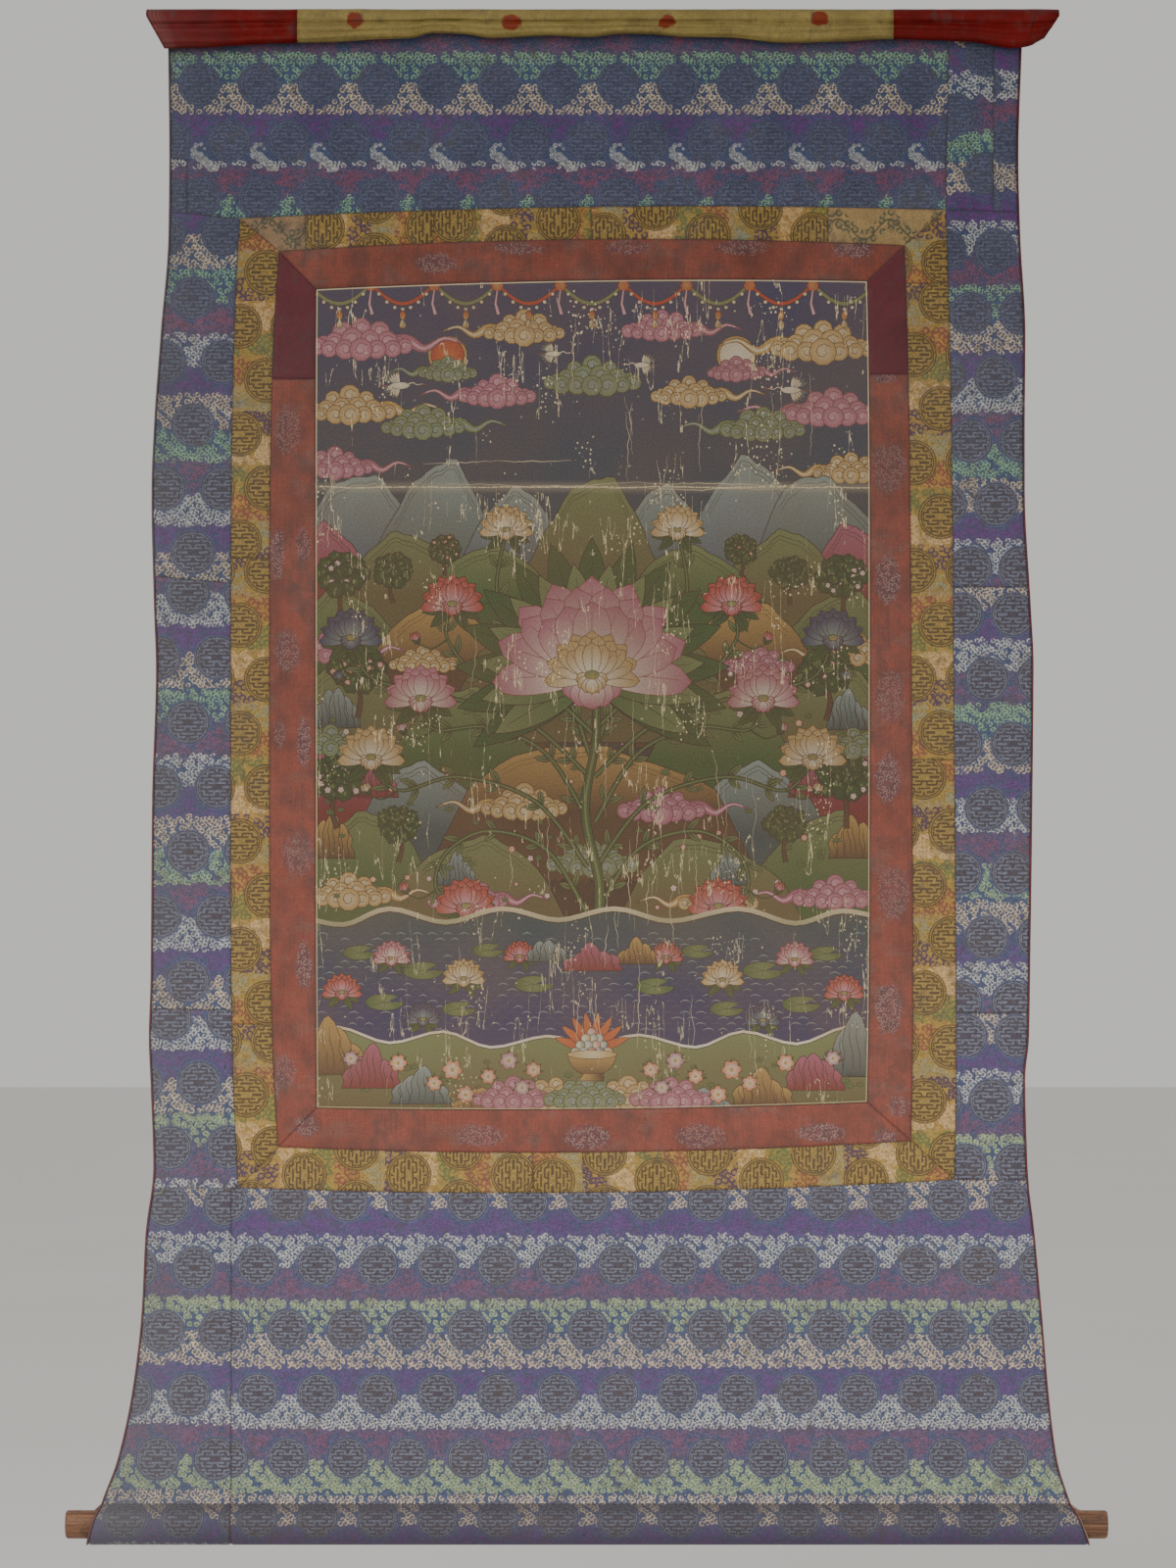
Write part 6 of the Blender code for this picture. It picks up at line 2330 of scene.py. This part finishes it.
def binding_silk(name):
    """Dark red silk, faded high up at the left and with cream piping low down at the right."""
    looks = Looks(name)
    _, run, _ = looks.attribute("cloth")
    _, outwards, right = looks.attribute("rim")
    made, height = threads_and_specks(looks, srgb(104, 34, 42), srgb(88, 40, 46))
    faded = rising(run, FADED_ABOVE + 25.0, FADED_ABOVE - 25.0) * (right < 0.0)
    made = looks.mix(faded * 0.7, made, srgb(98, 92, 98))
    made = looks.mix((outwards > 0.3) * (right > 0.0) * (run > CREAM_BELOW) * 0.8, made, srgb(184, 172, 152))
    return looks.finish(aged_and_shaded(looks, made), height, 0.15 * MM, Roughness=0.6, Specular_IOR_Level=0.15)


CREASE_RUN = 417.0              # where the canvas was once folded across


def painted(name):
    """Distemper on cotton under a dull brown film, with flaked paint, fine cracks, weave and a pale rim;
    painted lighter low down, and painted seam shadow with dirt.
    """
    looks = Looks(name)
    across, run, side = looks.attribute("cloth")
    edge, _, _ = looks.attribute("rim")
    colour = looks.node("Attribute", attribute_name="paint").outputs["Vector"]
    film = looks.noise(across / 70.0, run / 70.0, detail=4.0)
    colour = looks.mix(film * 0.5 + 0.2, colour, srgb(108, 84, 64))
    grain = looks.noise(across / 1.4, run / 1.4, detail=3.0)
    # Painted light: the lower part of the canvas lighter than the rest.
    painted_light_below = rising(run + film * 120.0, 700.0, 980.0) * 0.35
    colour = looks.shade(colour, grain * 0.7 + painted_light_below + 0.36)
    worn = looks.noise(across / 45.0, run / 60.0, 3.0, detail=3.0)
    upright = near(looks.noise(across / 16.0, run / 150.0, 5.0, detail=6.0), 0.5, 0.0035) * (worn > 0.52)
    level = near(run + worn * 4.0, CREASE_RUN + 2.0, 0.5) * (grain > 0.45)
    fleck, cell_x, cell_y = looks.cells(across / 4.0, run / 5.0)
    flaked = (fleck < looks.random(cell_x, cell_y) * 0.22) * (worn > 0.6)
    bare = larger(upright, level, flaked)
    colour = looks.mix(bare * 0.7, colour, srgb(196, 178, 140))
    colour = looks.mix(rising(abs(run - CREASE_RUN), 7.0, 0.0) * 0.25, colour, srgb(150, 134, 108))
    colour = looks.mix(inside(edge, 0.5, 1.6) * 0.6, colour, srgb(188, 170, 130))
    # Painted shadow with dirt: a dark line along the canvas's seam.
    colour = looks.mix(rising(edge, 0.6, 0.1) * 0.8, colour, srgb(48, 38, 34))
    stained = looks.mix(rising(film, 0.25, 0.75), srgb(158, 143, 117), srgb(138, 121, 98))
    stained = looks.mix(larger(upright, level) * 0.4, stained, srgb(84, 70, 56))
    colour = looks.mix(side, colour, looks.shade(stained, grain * 0.6 + 0.7))
    weave = wave(across, 0.9) * wave(run, 0.9)
    height = weave * 0.3 + grain * 0.5 - bare * 0.5
    return looks.finish(colour, height, 0.12 * MM, Roughness=0.85, Specular_IOR_Level=0.2)


def wood(name):
    looks = Looks(name)
    across, depth, rise = looks.attribute("cloth")
    grain = looks.noise(across / 60.0, depth / 2.2, rise / 2.2, detail=4.0)
    fine = looks.noise(across / 25.0, depth / 0.5, rise / 0.5, detail=2.0)
    colour = looks.mix(rising(grain, 0.35, 0.7), srgb(128, 90, 64), srgb(78, 52, 38))
    stain = looks.noise(across / 9.0, depth / 7.0, rise / 7.0, detail=4.0)
    colour = looks.mix(rising(stain, 0.52, 0.68) * 0.6, colour, srgb(66, 54, 44))
    colour = looks.shade(colour, fine * 0.5 + 0.7)
    return looks.finish(colour, fine + grain, 0.2 * MM, Roughness=0.55, Specular_IOR_Level=0.3)


# Stage.

CAMERA_HEIGHT = -680.3 * MM
CAMERA_ACROSS = -3.5 * MM
CAMERA_DISTANCE = 5.0
FRAME_HEIGHT = 1.392
SENSOR_HEIGHT = 24.0            # in millimetres, as Blender's cameras have it
FLOOR_DROP = 0.24


def add_camera():
    """Look straight at the painted face, with the photograph's frame."""
    data = bpy.data.cameras.new("camera")
    data.sensor_fit = "VERTICAL"
    data.sensor_height = SENSOR_HEIGHT
    data.lens = SENSOR_HEIGHT * CAMERA_DISTANCE / FRAME_HEIGHT
    camera = bpy.data.objects.new("camera", data)
    camera.location = (CAMERA_ACROSS, -CAMERA_DISTANCE, CAMERA_HEIGHT)
    camera.rotation_euler = (math.pi / 2.0, 0.0, 0.0)
    bpy.context.scene.collection.objects.link(camera)
    bpy.context.scene.camera = camera


def add_light(name, place, aim, size, power_watts):
    data = bpy.data.lights.new(name, "AREA")
    data.size = size
    data.energy = power_watts
    light = bpy.data.objects.new(name, data)
    light.location = place
    light.rotation_euler = (Vector(aim) - Vector(place)).to_track_quat("-Z", "Y").to_euler()
    bpy.context.scene.collection.objects.link(light)


def add_stage():
    """A pale floor below the roller, a pale surround and soft light from above the viewer's left."""
    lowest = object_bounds()[0]
    mesh = bpy.data.meshes.new("floor")
    reach = 12.0
    corners = [(-reach, -reach, 0), (reach, -reach, 0), (reach, reach, 0), (-reach, reach, 0)]
    mesh.from_pydata(corners, [], [(0, 1, 2, 3)])
    floor = bpy.data.objects.new("floor", mesh)
    floor.location.z = lowest[2] - FLOOR_DROP
    bpy.context.scene.collection.objects.link(floor)
    looks = Looks("floor")
    place = looks.split(looks.node("TexCoord").outputs["Object"])
    cloud = looks.noise(place[0] * 1.5, place[1] * 1.5)
    colour = looks.mix(cloud, srgb(226, 224, 220), srgb(232, 230, 227))
    mesh.materials.append(looks.finish(colour, cloud, 0.1 * MM, Roughness=0.9))
    world = bpy.data.worlds.new("surround")
    world.use_nodes = True
    backdrop = world.node_tree.nodes["Background"]
    backdrop.inputs["Color"].default_value = srgb(236, 235, 232)
    backdrop.inputs["Strength"].default_value = 0.75
    bpy.context.scene.world = world
    add_light("key", (-1.6, -2.6, 1.2), (0.0, 0.0, -0.6), 2.2, 90.0)
    add_light("fill", (2.2, -2.4, -0.4), (0.0, 0.0, -0.8), 2.4, 30.0)


def make_materials():
    return {
        "blue_brocade": brocade("blue_brocade", BLUE),
        "brocade_top_panel": brocade("blue_brocade_with_bats", BLUE, True),
        "yellow_brocade": brocade("yellow_brocade", YELLOW_SILK),
        "beige_brocade": vine_silk("beige_brocade"),
        "red_silk": red_silk("red_silk"),
        "crimson_silk": plain_silk("crimson_silk", srgb(104, 35, 44), srgb(88, 31, 39)),
        "painted_canvas": painted("painted_canvas"),
        "binding_silk": binding_silk("binding_silk"),
        "veil_red": veil_silk("veil_red", srgb(124, 14, 8), srgb(98, 10, 6)),
        "veil_yellow": veil_silk("veil_yellow", srgb(163, 143, 82), srgb(143, 123, 72), VEIL_SPOTS),
        "roller_wood": wood("roller_wood"),
    }


def main():
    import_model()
    add_camera()
    add_stage()
    materials = make_materials()
    cuts = red_cuts() + yellow_cuts() + top_brocade_cuts() + side_and_bottom_brocade_cuts()
    for piece in cuts:
        add_cloth(piece, materials.get(piece.node, materials[piece.slot]))
    add_canvas(materials["painted_canvas"])
    add_veil(materials)
    add_bindings(materials)
    add_roller(materials)


main()
